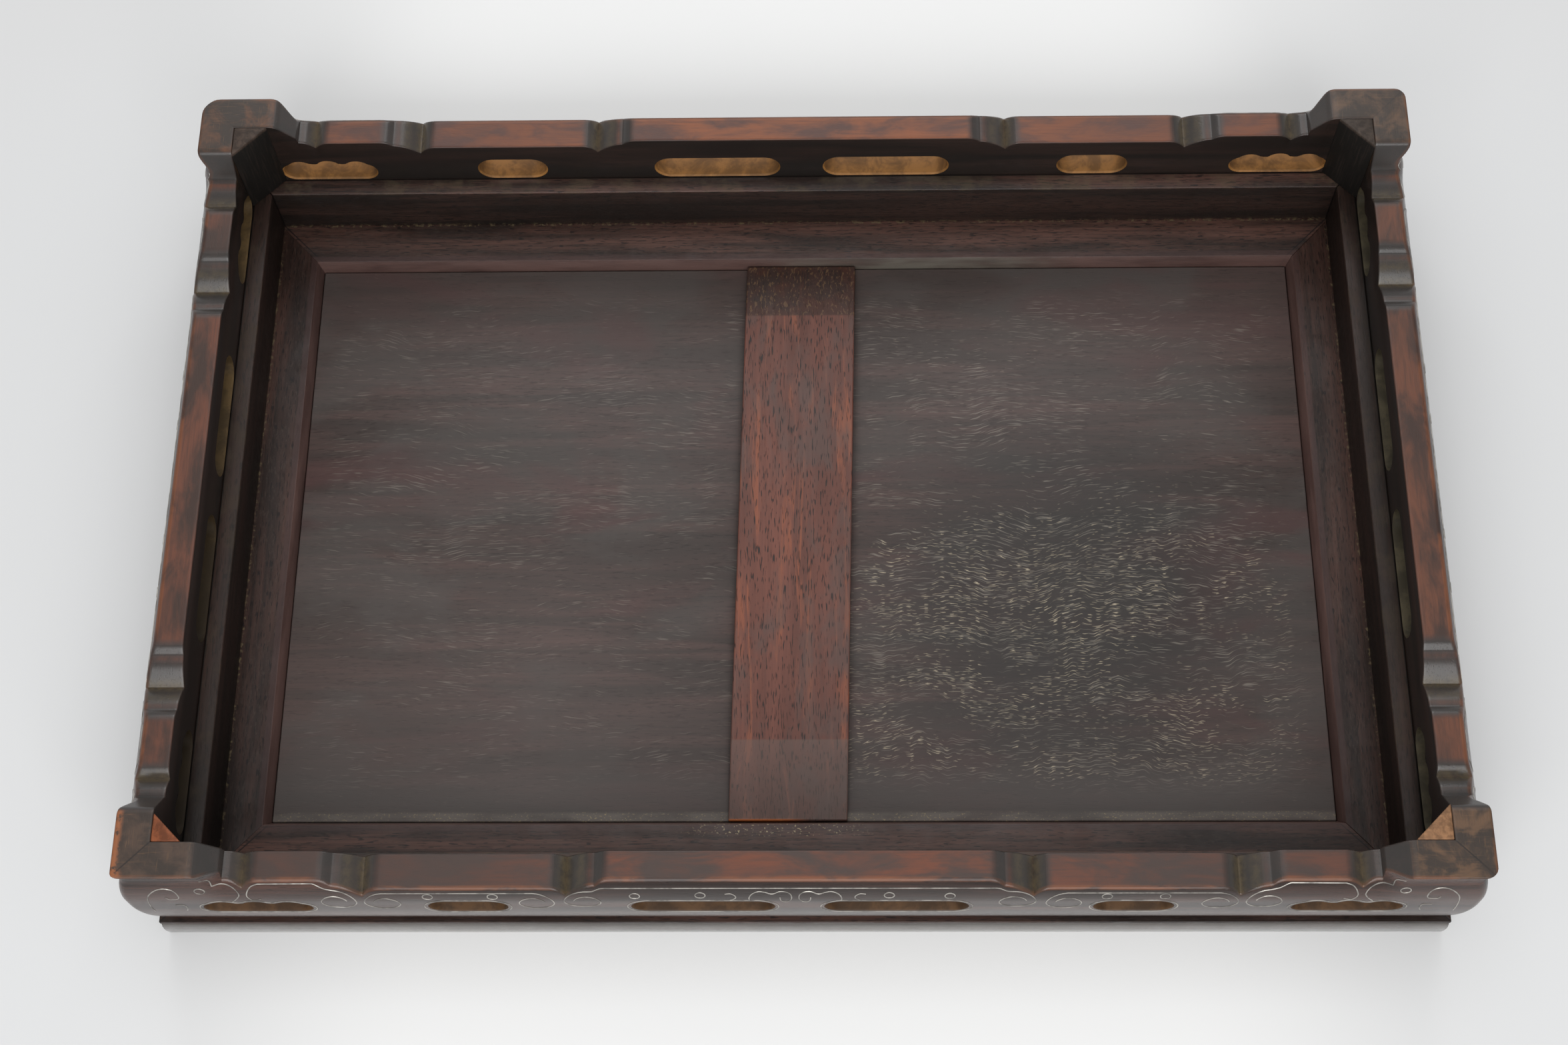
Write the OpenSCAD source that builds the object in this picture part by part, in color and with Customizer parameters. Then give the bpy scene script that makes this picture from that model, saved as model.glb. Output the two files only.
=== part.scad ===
// Low hardwood desk stand with a framed top, a waist, scalloped aprons and corner feet.
// It lies upside down on its top face: the top is at z = 0 and the foot ends point up.
// X runs along the length, Y from front to back. All sizes are in millimetres.

/* [Stand] */
// Length over the fullest part of the aprons, left to right
stand_length = 402.5; // [380:0.5:480]
// Depth over the fullest part of the aprons, front to back
stand_depth = 270.5; // [255:0.5:340]

/* [Top frame] */
// Thickness of the frame rails
frame_thick = 13; // [12:0.25:18]
// Width of the long rails up to the panel opening
long_rail_width = 31.5; // [28:0.5:40]
// Width of the short rails up to the panel opening
short_rail_width = 29.6; // [28:0.1:40]
// How far the frame's edge stays inside the fullest part of the aprons
top_inset = 1.8; // [0:0.1:4]
// Height of the rounded band along the frame's edge
band_height = 10.4; // [9:0.1:11]
// How far the rounded band swells out of the edge
band_swell = 0.4; // [0.2:0.1:0.8]
// Width of the small groove beside the band
edge_groove = 0.6; // [0.4:0.1:1]
// Depth of that groove behind the band
edge_groove_depth = 2; // [1.6:0.1:3]
// Set-back of the flat fillet beside the groove
fillet_setback = 0.3; // [0.2:0.1:0.6]
// Height of the sloping wall from the frame's underside to the panel
lip_drop = 4; // [3:0.25:5]
// Run of that sloping wall
lip_run = 1.7; // [0.5:0.1:3]
// Thickness of the tenons at the mitred corners
corner_tenon_thick = 4; // [3:0.25:5]
// Width of those tenons
corner_tenon_width = 13; // [8:0.5:15]
// Length of those tenons
corner_tenon_length = 17; // [15:0.5:18]
// Wood left beyond the end of those tenons
corner_tenon_cheek = 6; // [4:0.5:8]
// Wood left beside those tenons, towards the frame's front or back edge
corner_tenon_set = 8; // [6:0.5:9]

/* [Panel] */
// Thickness of the tongue round the panel
tongue_thick = 2.8; // [2:0.1:3.4]
// Height of the tongue above the top face
tongue_set = 2; // [1.5:0.1:2.2]
// Length of the tongue that enters the rails
tongue_length = 4; // [3:0.25:6]
// Gap round the panel that lets it swell
panel_gap = 0.3; // [0.2:0.05:0.6]
// Clearance of tongues and tenons in their grooves
joint_clear = 0.1; // [0.05:0.05:0.2]

/* [Cross brace] */
// Width of the brace
brace_width = 37.5; // [30:0.5:50]
// Height of the brace above the panel in its middle
brace_rise = 4.5; // [3:0.25:7]
// Height of the brace above the panel at its ends
brace_end_rise = 1.5; // [1:0.1:2.5]
// Length of the slope at the brace's front end
brace_front_slope = 26; // [15:0.5:35]
// Length of the slope at the brace's back end
brace_back_slope = 21; // [15:0.5:35]
// Sideways place of the brace's middle
brace_offset = -2.4; // [-15:0.1:15]
// Angle of the brace away from square, in degrees
brace_skew = -1.1; // [-1.5:0.1:1.5]
// Width of the dovetail where it leaves the panel
dovetail_width = 22; // [16:0.5:26]
// Spread of the dovetail on each side
dovetail_spread = 1.5; // [0.8:0.1:2.5]
// Depth of the dovetail in the panel
dovetail_depth = 3; // [2:0.25:4]
// Width of the tenons that enter the long rails
brace_tenon_width = 18; // [12:0.5:20]
// Length of those tenons
brace_tenon_length = 6; // [4:0.5:9]
// Thickness of those tenons
brace_tenon_thick = 2; // [1.5:0.1:2]

/* [Waist] */
// Thickness of the waist strips
waist_thick = 6; // [5:0.1:8]
// Height of the waist strips above the frame
waist_rise = 20.8; // [19:0.2:23]
// Width of the tongue under the waist strips
waist_tongue_width = 2.6; // [2:0.1:3.4]
// Depth of that tongue in the frame
waist_tongue_depth = 2; // [1.5:0.1:2.5]

/* [Aprons] */
// Thickness of the aprons at their fullest
apron_thick = 12.6; // [11:0.1:15]
// Gap between the frame and the aprons, where the waist shows
apron_gap = 3.5; // [2:0.25:5]
// Height of the aprons' middle edge above the frame
apron_rise = 43.4; // [41:0.2:48]
// Height of the foot ends above the apron's middle edge
foot_rise = 9.9; // [8.5:0.1:14]
// Radius of the swelling outer face
bulge_radius = 200; // [120:5:300]
// Height above the frame where the outer face is fullest
bulge_rise = 32; // [26:0.5:36]

/* [Scalloped edge] */
// Length of a foot's flat end along the long sides
foot_flat = 23.4; // [20:0.1:25]
// Radius of the rounded shoulder of a foot on the long sides
foot_round = 5; // [4:0.25:6]
// Angle of the slope below that shoulder, in degrees
foot_angle = 50; // [40:1:60]
// Run from a foot's flat end to the small lobe beside it on the long sides
foot_run = 8.6; // [7.5:0.1:9.5]
// Length of a foot's flat end along the short sides
side_foot_flat = 20.6; // [19:0.1:22]
// Radius of the rounded shoulder of a foot on the short sides
side_foot_round = 2.5; // [1.5:0.25:3]
// Angle of the steeper slope below that shoulder, in degrees
side_foot_angle = 67; // [62:1:70]
// Run from a foot's flat end to the small lobe beside it on the short sides
side_foot_run = 5.6; // [5:0.1:6.5]
// Height of the small lobe above the apron's middle edge
small_lobe_rise = 0.4; // [0.1:0.1:1]
// Distance of the small cusp from the end of a long apron
small_cusp = 37.4; // [36.5:0.1:39]
// Distance of the small cusp from the end of a short apron
side_small_cusp = 35.6; // [34:0.1:37]
// Depth of the small cusps
small_cusp_drop = 2.7; // [2:0.1:3.5]
// Depth of the deep cusps
deep_cusp_drop = 6.6; // [5.5:0.1:7.5]
// Flat length of the end lobes on the long aprons
end_lobe_long = 16.6; // [12:0.2:24]
// Flat length of the end lobes on the short aprons
end_lobe_short = 12; // [9:0.5:14]
// Radius of the lobes' shoulders
lobe_round = 6.2; // [5.5:0.1:7]
// Run of a lobe's shoulder to a small cusp
shoulder_run = 5; // [4:0.1:5.4]
// Run of a lobe's shoulder to its slope
step_run = 4.2; // [3.5:0.1:5]
// Depth at which the shoulder steps to that slope
step_drop = 1.9; // [1.7:0.1:3]
// Run of the slope from that step to a deep cusp
slope_run = 9.3; // [8:0.1:10.5]
// Flat length of the middle lobe on the long aprons
middle_lobe = 111; // [90:1:130]
// Drop of the side lobes on the long aprons
side_lobe_drop = 3.2; // [2.5:0.1:4]
// Run of a side lobe's shoulders
side_shoulder_run = 5.3; // [4.6:0.1:5.4]

/* [Piercings] */
// Height of the piercings
slot_height = 10.4; // [8:0.2:11]
// Height of the piercings above the waist strips
slot_set = 0.8; // [0.4:0.1:2]
// Length of the long piercings
long_slot = 42; // [34:0.5:46]
// Plain wood between the two long piercings
slot_bridge = 15.5; // [12:0.5:20]
// Length of the short piercings
short_slot = 23; // [16:0.5:30]
// Length of the cusped piercings
cusped_slot = 32; // [30:0.5:34]
// Radius of the cusped piercings' ends and lobes
cusped_round = 4.2; // [3.2:0.1:4.3]
// How far a cusped piercing's outer lobes stay below its middle one
cusped_step = 0.4; // [0.2:0.1:1]
// Distance of a cusped piercing's middle from the end of an apron
cusped_slot_set = 39.3; // [39:0.1:42]

/* [Corner blocks] */
// Length of a corner block's legs along the aprons
block_leg = 10.8; // [8:0.2:11]

/* [Silver wire] */
// Width of the inlaid wire
wire_width = 0.6; // [0.4:0.05:1]
// How far the wire stands out of the wood
wire_proud = 0.2; // [0.15:0.05:0.4]
// Distance of the wire lines below the scalloped edge
wire_inset = 2.2; // [1.8:0.1:3]
// Distance of the wire lines round the piercings
wire_margin = 1.2; // [0.9:0.1:1.6]
// Outer diameter of the small wire rings
wire_ring = 3.4; // [2.4:0.1:3.6]
// Distance between the two rings of a pair
ring_spread = 19; // [14:0.5:22]

/* [Hidden] */
$fn = 64;
overlap = 0.01;
spare = 2;
half_x = stand_length / 2;
half_y = stand_depth / 2;
frame_x = half_x - top_inset;
frame_y = half_y - top_inset;
inner_x = half_x - apron_thick;
inner_y = half_y - apron_thick;
long_wall = long_rail_width + lip_run;
short_wall = short_rail_width + lip_run;
panel_thick = frame_thick - lip_drop;
panel_x = frame_x - short_wall - panel_gap;
panel_y = frame_y - long_wall - panel_gap;
ledge_z = frame_thick + waist_rise;
apron_z = frame_thick + apron_gap;
edge_z = frame_thick + apron_rise;
foot_z = edge_z + foot_rise;
bulge_z = frame_thick + bulge_rise;
base_z = edge_z - deep_cusp_drop - spare / 2;
root_z = base_z - spare;
slot_z = ledge_z + slot_set;
brace_y = frame_y - long_wall - joint_clear;
dovetail_z = panel_thick - dovetail_depth;
lobe_start = small_cusp + shoulder_run;
long_cusp = lobe_start + end_lobe_long + step_run + slope_run;
side_lobe_start = side_small_cusp + shoulder_run;
short_cusp = side_lobe_start + end_lobe_short + step_run + slope_run;
middle_cusp = middle_lobe / 2 + step_run + slope_run;
short_slot_x = (middle_cusp + half_x - long_cusp) / 2;
long_slot_x = (slot_bridge + long_slot) / 2;
wood_dark = "#33221d";
wood_red = "#4a2a20";
wood_worn = "#6b4a33";
silver = "#b9b6ae";

// Runs a profile along X to both ends: the profile's x goes to +Y and its y to +Z
module run_along_x(end_x) {
    rotate([90, 0, 90]) linear_extrude(height = 2 * end_x, center = true) children();
}

// Draws a front view in X and Z as a slab that reaches from y = 0 past the front face
module front_slab() {
    rotate([90, 0, 0]) linear_extrude(height = half_x + spare) children();
}

// Keeps the part of a front piece between its two mitres, which run through the outer corners
module mitred(end_x, front_y, width, side_width, height) {
    slope = side_width / width;
    inner_end = end_x - slope * (width + spare);
    outer_end = end_x + slope * spare;
    intersection() {
        children();
        translate([0, 0, -spare]) linear_extrude(height = height + 2 * spare)
            polygon([[-outer_end, -front_y - spare], [outer_end, -front_y - spare],
                     [inner_end, width - front_y + spare], [-inner_end, width - front_y + spare]]);
    }
}

// Cross-section of a rail, from its outer edge at x = 0 to the panel opening
module rail_profile(width) {
    wall = width + lip_run;
    band_radius = (band_swell * band_swell + band_height * band_height / 4) / (2 * band_swell);
    fillet_z = band_height + edge_groove;
    difference() {
        union() {
            translate([edge_groove_depth, 0]) square([width - edge_groove_depth, frame_thick]);
            intersection() {
                square([2 * edge_groove_depth, band_height]);
                translate([band_radius, band_height / 2]) circle(r = band_radius);
            }
            translate([fillet_setback, fillet_z]) square([2 * edge_groove_depth, frame_thick - fillet_z]);
            polygon([[width - lip_run, 0], [wall, 0], [wall, panel_thick], [width, frame_thick],
                     [width - lip_run, frame_thick]]);
        }
        translate([wall - tongue_length - panel_gap, tongue_set - joint_clear])
            square([tongue_length + panel_gap + spare, tongue_thick + 2 * joint_clear]);
        translate([apron_thick - top_inset + (waist_thick - waist_tongue_width) / 2 - joint_clear,
                   frame_thick - waist_tongue_depth - joint_clear])
            square([waist_tongue_width + 2 * joint_clear, waist_tongue_depth + spare]);
    }
}

// A mitred rail in the front position
module rail(end_x, front_y, width, side_width) {
    mitred(end_x, front_y, width, side_width, frame_thick)
        translate([0, -front_y, 0]) run_along_x(end_x + spare) rail_profile(width);
}

// Tenons of one long rail, front or back, that enter the two short rails
module corner_tenons(side, grow) {
    mid_x = frame_x - corner_tenon_cheek - corner_tenon_length / 2;
    mid_y = frame_y - corner_tenon_set - corner_tenon_width / 2;
    for (end = [-1, 1]) translate([end * mid_x, side * mid_y, frame_thick / 2])
        cube([corner_tenon_length + 2 * grow, corner_tenon_width + 2 * grow, corner_tenon_thick + 2 * grow],
             center = true);
}

// Tenon at one end of the brace, side -1 at the front and 1 at the back
module brace_tenon(side, grow) {
    translate([brace_offset - side * brace_y * tan(brace_skew) - brace_tenon_width / 2 - grow,
               side > 0 ? brace_y - spare : -brace_y - brace_tenon_length - grow, dovetail_z - grow])
        cube([brace_tenon_width + 2 * grow, brace_tenon_length + spare + grow, brace_tenon_thick + 2 * grow]);
}

// A long rail with its tenons and the mortise for the brace
module long_rail(side) {
    difference() {
        union() {
            rotate([0, 0, side > 0 ? 180 : 0]) rail(frame_x, frame_y, long_rail_width, short_rail_width);
            corner_tenons(side, 0);
        }
        brace_tenon(side, joint_clear);
    }
}

// A short rail with the mortises for both long rails
module short_rail(turn) {
    difference() {
        rotate([0, 0, turn]) rail(frame_y, frame_x, short_rail_width, long_rail_width);
        corner_tenons(-1, joint_clear);
        corner_tenons(1, joint_clear);
    }
}

module top_rail_front() { color(wood_dark) long_rail(-1); }
module top_rail_back() { color(wood_dark) long_rail(1); }
module top_rail_left() { color(wood_dark) short_rail(-90); }
module top_rail_right() { color(wood_dark) short_rail(90); }

// Dovetail that holds the brace in the panel, as long as the frame is deep
module dovetail(grow) {
    half_root = dovetail_width / 2 + grow;
    half_tip = half_root + dovetail_spread;
    translate([brace_offset, 0, 0]) rotate([90, 0, brace_skew])
        linear_extrude(height = 2 * frame_y, center = true)
            polygon([[-half_tip, dovetail_z - grow], [half_tip, dovetail_z - grow],
                     [half_root, panel_thick + overlap], [-half_root, panel_thick + overlap]]);
}

module top_panel() {
    color(wood_dark) difference() {
        union() {
            translate([-panel_x, -panel_y, 0]) cube([2 * panel_x, 2 * panel_y, panel_thick]);
            translate([-panel_x - tongue_length, -panel_y - tongue_length, tongue_set])
                cube([2 * (panel_x + tongue_length), 2 * (panel_y + tongue_length), tongue_thick]);
        }
        dovetail(joint_clear);
    }
}

module cross_brace() {
    top = panel_thick + brace_rise;
    low = panel_thick + brace_end_rise;
    reach = brace_y + spare;
    color(wood_red) union() {
        intersection() {
            union() {
                dovetail(0);
                translate([brace_offset, 0, 0]) rotate([0, 0, brace_skew]) run_along_x(brace_width / 2)
                    polygon([[-reach, panel_thick], [reach, panel_thick], [reach, low],
                             [brace_y - brace_back_slope, top], [brace_front_slope - brace_y, top], [-reach, low]]);
            }
            translate([-half_x, -brace_y, 0]) cube([2 * half_x, 2 * brace_y, 2 * frame_thick]);
        }
        brace_tenon(-1, 0);
        brace_tenon(1, 0);
    }
}

// A waist strip in the front position, seated in the frame by its tongue
module waist_strip(end_x, front_y) {
    mitred(end_x, front_y, waist_thick, waist_thick, ledge_z)
        translate([0, -front_y, 0]) run_along_x(end_x + spare) union() {
            translate([0, frame_thick]) square([waist_thick, waist_rise]);
            translate([(waist_thick - waist_tongue_width) / 2, frame_thick - waist_tongue_depth])
                square([waist_tongue_width, waist_tongue_depth + spare]);
        }
}

module waist_front() { color(wood_dark) waist_strip(inner_x, inner_y); }
module waist_back() { color(wood_dark) rotate([0, 0, 180]) waist_strip(inner_x, inner_y); }
module waist_left() { color(wood_dark) rotate([0, 0, -90]) waist_strip(inner_y, inner_x); }
module waist_right() { color(wood_dark) rotate([0, 0, 90]) waist_strip(inner_y, inner_x); }

// A flat-topped lobe of the scalloped edge with round shoulders
module lobe(from_x, to_x, top_z) {
    front_slab() translate([from_x, root_z]) square([to_x - from_x, top_z - root_z]);
    for (x = [from_x, to_x]) front_slab() translate([x, top_z - lobe_round]) circle(r = lobe_round);
}

// The slope from a lobe's step down to a deep cusp
module cusp_slope(step_x, cusp_x) {
    front_slab()
        polygon([[step_x, root_z], [step_x, edge_z - step_drop], [cusp_x, edge_z - deep_cusp_drop],
                 [cusp_x + spare, root_z]]);
}

// Foot, small lobe and end lobe, drawn from the left end of an apron at x = 0
module apron_end(flat, round, angle, run, cusp, end_lobe) {
    turn_x = flat + round * sin(angle);
    turn_z = foot_z - round * (1 - cos(angle));
    slope_x = flat + run;
    lobe_x = cusp + shoulder_run;
    step_x = lobe_x + end_lobe + step_run;
    front_slab()
        polygon([[-spare, root_z], [-spare, foot_z], [flat, foot_z], [turn_x, turn_z],
                 [slope_x, turn_z - (slope_x - turn_x) * tan(angle)], [slope_x, root_z]]);
    front_slab() translate([flat, foot_z - round]) circle(r = round);
    front_slab()
        polygon([[flat, root_z], [flat, edge_z + small_lobe_rise], [slope_x, edge_z + small_lobe_rise],
                 [cusp, edge_z - small_cusp_drop], [cusp, root_z]]);
    lobe(lobe_x, lobe_x + end_lobe, edge_z);
    cusp_slope(step_x, step_x + slope_run);
}

module long_end() {
    apron_end(foot_flat, foot_round, foot_angle, foot_run, small_cusp, end_lobe_long);
}

module short_end() {
    apron_end(side_foot_flat, side_foot_round, side_foot_angle, side_foot_run, side_small_cusp, end_lobe_short);
}

// Middle lobe with the slopes to its deep cusps
module middle_part(half_flat) {
    lobe(-half_flat, half_flat, edge_z);
    for (m = [0, 1]) mirror([m, 0])
        cusp_slope(half_flat + step_run, half_flat + step_run + slope_run);
}

// Outline of an apron: body, ends, middle lobe and, on the long ones, side lobes
module long_outline() {
    front_slab() translate([-half_x - spare, apron_z]) square([stand_length + 2 * spare, base_z - apron_z]);
    for (m = [0, 1]) mirror([m, 0]) {
        translate([-half_x, 0]) long_end();
        lobe(middle_cusp + side_shoulder_run, half_x - long_cusp - side_shoulder_run,
             edge_z - side_lobe_drop);
    }
    middle_part(middle_lobe / 2);
}

module short_outline() {
    front_slab() translate([-half_y - spare, apron_z]) square([stand_depth + 2 * spare, base_z - apron_z]);
    for (m = [0, 1]) mirror([m, 0]) translate([-half_y, 0]) short_end();
    middle_part(half_y - short_cusp - slope_run - step_run);
}

// A piercing with round ends, widened on all sides by grow
module round_slot(length, grow) {
    radius = slot_height / 2;
    translate([-length / 2 + radius, slot_z - grow]) square([length - slot_height, slot_height + 2 * grow]);
    for (x = [-1, 1]) translate([x * (length / 2 - radius), slot_z + radius]) circle(r = radius + grow);
}

// A piercing with three lobes towards the foot
module cusped_piercing(grow) {
    crown = slot_z + slot_height - cusped_round;
    reach = cusped_slot / 2 - cusped_round;
    translate([-reach, slot_z - grow]) square([2 * reach, 2 * cusped_round + 2 * grow]);
    for (x = [-1, 1]) translate([x * reach, slot_z + cusped_round]) circle(r = cusped_round + grow);
    for (x = [-1, 0, 1]) translate([x * (reach - cusped_round / 2), crown - abs(x) * cusped_step])
        circle(r = cusped_round + grow);
}

module long_piercings(grow) {
    for (m = [0, 1]) mirror([m, 0]) {
        translate([long_slot_x, 0]) round_slot(long_slot, grow);
        translate([short_slot_x, 0]) round_slot(short_slot, grow);
        translate([half_x - cusped_slot_set, 0]) cusped_piercing(grow);
    }
}

module short_piercings(grow) {
    for (m = [0, 1]) mirror([m, 0]) {
        translate([long_slot_x, 0]) round_slot(long_slot, grow);
        translate([half_y - cusped_slot_set, 0]) cusped_piercing(grow);
    }
}

// Cross-section of an apron: flat inside, swelling outside, fullest at x = 0
module apron_profile() {
    intersection() {
        translate([0, apron_z]) square([apron_thick, foot_z - apron_z]);
        translate([bulge_radius, bulge_z]) circle(r = bulge_radius, $fn = 256);
    }
}

// An apron in the front position, cut from the outline given as child
module apron(end_x, front_y) {
    mitred(end_x, front_y, apron_thick, apron_thick, foot_z)
        intersection() {
            translate([0, -front_y, 0]) run_along_x(end_x + spare) apron_profile();
            children();
        }
}

module long_apron() {
    apron(half_x, half_y) difference() {
        long_outline();
        front_slab() long_piercings(0);
    }
}

module short_apron() {
    apron(half_y, half_x) difference() {
        short_outline();
        front_slab() short_piercings(0);
    }
}

module apron_front() { color(wood_red) long_apron(); }
module apron_back() { color(wood_red) rotate([0, 0, 180]) long_apron(); }
module apron_left() { color(wood_red) rotate([0, 0, -90]) short_apron(); }
module apron_right() { color(wood_red) rotate([0, 0, 90]) short_apron(); }

// Triangular block that ties two aprons together behind a foot
module corner_block(side_x, side_y) {
    x = side_x * inner_x;
    y = side_y * inner_y;
    translate([0, 0, ledge_z]) linear_extrude(height = foot_z - ledge_z)
        polygon([[x, y], [x - side_x * block_leg, y], [x, y - side_y * block_leg]]);
}

module corner_block_front_left() { color(wood_worn) corner_block(-1, -1); }
module corner_block_front_right() { color(wood_worn) corner_block(1, -1); }
module corner_block_back_left() { color(wood_worn) corner_block(-1, 1); }
module corner_block_back_right() { color(wood_worn) corner_block(1, 1); }

// Skin over the swelling outer face, as thick as the wire stands proud
module wire_skin() {
    intersection() {
        translate([-spare, apron_z + spare]) square([apron_thick / 2 + spare, foot_z - apron_z - 2 * spare]);
        translate([bulge_radius, bulge_z]) difference() {
            circle(r = bulge_radius + wire_proud, $fn = 256);
            circle(r = bulge_radius, $fn = 256);
        }
    }
}

// Wire laid on the outer face along the front pattern given as child
module wire_on(end_x, front_y) {
    intersection() {
        translate([0, -front_y, 0]) run_along_x(end_x) wire_skin();
        front_slab() children();
    }
}

module wire_circle() {
    difference() {
        circle(d = wire_ring);
        circle(d = wire_ring - 2 * wire_width);
    }
}

// Two small rings between a piercing and the scalloped edge
module ring_pair(middle_x) {
    ring_z = slot_z + slot_height + wire_margin + wire_width + wire_ring / 2;
    for (x = [-1, 1]) translate([middle_x + x * ring_spread / 2, ring_z]) wire_circle();
}

// Lines round the piercings
module slot_lines_long() {
    difference() {
        long_piercings(wire_margin);
        long_piercings(wire_margin - wire_width);
    }
}

module slot_lines_short() {
    difference() {
        short_piercings(wire_margin);
        short_piercings(wire_margin - wire_width);
    }
}

// A line along a lobe with hooked ends, which turn down by the given number of hook radii
module lobe_line(from_x, to_x, top_z, turn) {
    hook = lobe_round - wire_inset / 2;
    line_z = top_z - wire_inset;
    translate([from_x, line_z - wire_width]) square([to_x - from_x, wire_width]);
    for (end = [-1, 1]) translate([end < 0 ? from_x : to_x, line_z - hook]) intersection() {
        difference() {
            circle(r = hook);
            circle(r = hook - wire_width);
        }
        translate([end < 0 ? -2 * hook : 0, (1 - turn) * hook]) square([2 * hook, 2 * hook]);
    }
}

module long_wires() {
    slot_lines_long();
    lobe_line(-middle_lobe / 2, middle_lobe / 2, edge_z, 2);
    for (m = [0, 1]) mirror([m, 0]) {
        lobe_line(middle_cusp + side_shoulder_run, half_x - long_cusp - side_shoulder_run, edge_z - side_lobe_drop, 2);
        lobe_line(half_x - lobe_start - end_lobe_long, half_x - lobe_start, edge_z, 1);
        ring_pair(short_slot_x);
        ring_pair(long_slot_x + (long_slot - ring_spread - wire_ring) / 2);
    }
}

module short_wires() {
    half_flat = half_y - short_cusp - slope_run - step_run;
    slot_lines_short();
    lobe_line(-half_flat, half_flat, edge_z, 1);
    for (m = [0, 1]) mirror([m, 0]) {
        lobe_line(half_y - side_lobe_start - end_lobe_short, half_y - side_lobe_start, edge_z, 1);
        ring_pair(long_slot_x);
    }
}

module silver_wire_front() { color(silver) wire_on(half_x, half_y) long_wires(); }
module silver_wire_back() { color(silver) rotate([0, 0, 180]) wire_on(half_x, half_y) long_wires(); }
module silver_wire_left() { color(silver) rotate([0, 0, -90]) wire_on(half_y, half_x) short_wires(); }
module silver_wire_right() { color(silver) rotate([0, 0, 90]) wire_on(half_y, half_x) short_wires(); }

top_rail_front();
top_rail_back();
top_rail_left();
top_rail_right();
top_panel();
cross_brace();
waist_front();
waist_back();
waist_left();
waist_right();
apron_front();
apron_back();
apron_left();
apron_right();
corner_block_front_left();
corner_block_front_right();
corner_block_back_left();
corner_block_back_right();
silver_wire_front();
silver_wire_back();
silver_wire_left();
silver_wire_right();
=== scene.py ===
"""Looks of a low hardwood desk stand that lies upside down on its top face."""

import math

import bmesh
import bpy
from mathutils import Matrix, Vector


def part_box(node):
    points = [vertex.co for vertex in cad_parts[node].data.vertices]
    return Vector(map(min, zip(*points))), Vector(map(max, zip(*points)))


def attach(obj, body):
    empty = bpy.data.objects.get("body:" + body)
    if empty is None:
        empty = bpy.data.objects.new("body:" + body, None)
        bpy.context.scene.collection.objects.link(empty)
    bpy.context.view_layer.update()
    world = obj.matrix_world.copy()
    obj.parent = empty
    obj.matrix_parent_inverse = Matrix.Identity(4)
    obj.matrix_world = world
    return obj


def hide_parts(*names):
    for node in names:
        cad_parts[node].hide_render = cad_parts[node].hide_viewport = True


bl_info = {
    "name": "Low Desk Stand",
    "version": (1, 0, 0),
    "blender": (4, 5, 0),
    "location": "View3D > Sidebar > Desk Stand",
    "description": "Builds the looks of a low hardwood desk stand round its CAD frame",
    "category": "Object",
}

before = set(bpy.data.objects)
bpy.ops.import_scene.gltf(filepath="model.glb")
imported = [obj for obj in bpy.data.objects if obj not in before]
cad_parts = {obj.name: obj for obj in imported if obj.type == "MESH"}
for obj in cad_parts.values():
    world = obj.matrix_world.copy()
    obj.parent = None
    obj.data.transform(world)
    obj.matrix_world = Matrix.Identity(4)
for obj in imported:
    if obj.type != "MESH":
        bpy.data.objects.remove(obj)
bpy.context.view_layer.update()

# Sizes below are in millimetres, and a mesh is in metres
MM = 0.001
SIDES = ("front", "back", "left", "right")
CORNERS = ("front_left", "front_right", "back_left", "back_right")
# Axis along each side
ALONG = {"front": "X", "back": "X", "left": "Y", "right": "Y"}
# Turn from the front position to each side, in degrees
TURN = {"front": 0, "back": 180, "left": -90, "right": 90}
# Corners at the left and right end of each side, seen from outside
END_CORNERS = {
    "front": ("front_left", "front_right"),
    "back": ("back_right", "back_left"),
    "left": ("back_left", "front_left"),
    "right": ("front_right", "back_right"),
}


def box_mm(node):
    """Lowest and highest corner of a CAD node in millimetres."""
    low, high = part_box(node)
    return low / MM, high / MM


FRONT_LOW, FRONT_HIGH = box_mm("apron_front")
LEFT_LOW, LEFT_HIGH = box_mm("apron_left")
BACK_RAIL_LOW, BACK_RAIL_HIGH = box_mm("top_rail_back")
RIGHT_RAIL_LOW, RIGHT_RAIL_HIGH = box_mm("top_rail_right")
WAIST_HIGH = box_mm("waist_front")[1]
# Half sizes over the aprons' outer faces and between their inner faces
HALF_X = -LEFT_LOW.x
HALF_Y = -FRONT_LOW.y
INNER_X = -LEFT_HIGH.x
INNER_Y = -FRONT_HIGH.y
THICK = HALF_Y - INNER_Y
# Heights of the panel, the frame, the aprons' lower edge, the ledge on the waist strips and the foot ends
PANEL_Z = box_mm("top_panel")[1].z
FRAME_Z = BACK_RAIL_HIGH.z
APRON_Z = FRONT_LOW.z
LEDGE_Z = WAIST_HIGH.z
FOOT_Z = FRONT_HIGH.z
# Half sizes between the waist strips
WAIST_THICK = INNER_Y + WAIST_HIGH.y
WALL_X = INNER_X - WAIST_THICK
WALL_Y = INNER_Y - WAIST_THICK
# Half sizes of the frame's opening, above the lip that slopes down to the panel
LIP_RUN = 1.7
OPENING_X = RIGHT_RAIL_LOW.x + LIP_RUN
OPENING_Y = BACK_RAIL_LOW.y + LIP_RUN
# Half sizes of the frame at its outer band, and the band's height
BAND_X = RIGHT_RAIL_HIGH.x
BAND_Y = BACK_RAIL_HIGH.y
BAND_Z = 10.4

# Scalloped edge, as in the solids
FOOT_RISE = 9.9
EDGE_Z = FOOT_Z - FOOT_RISE
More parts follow.
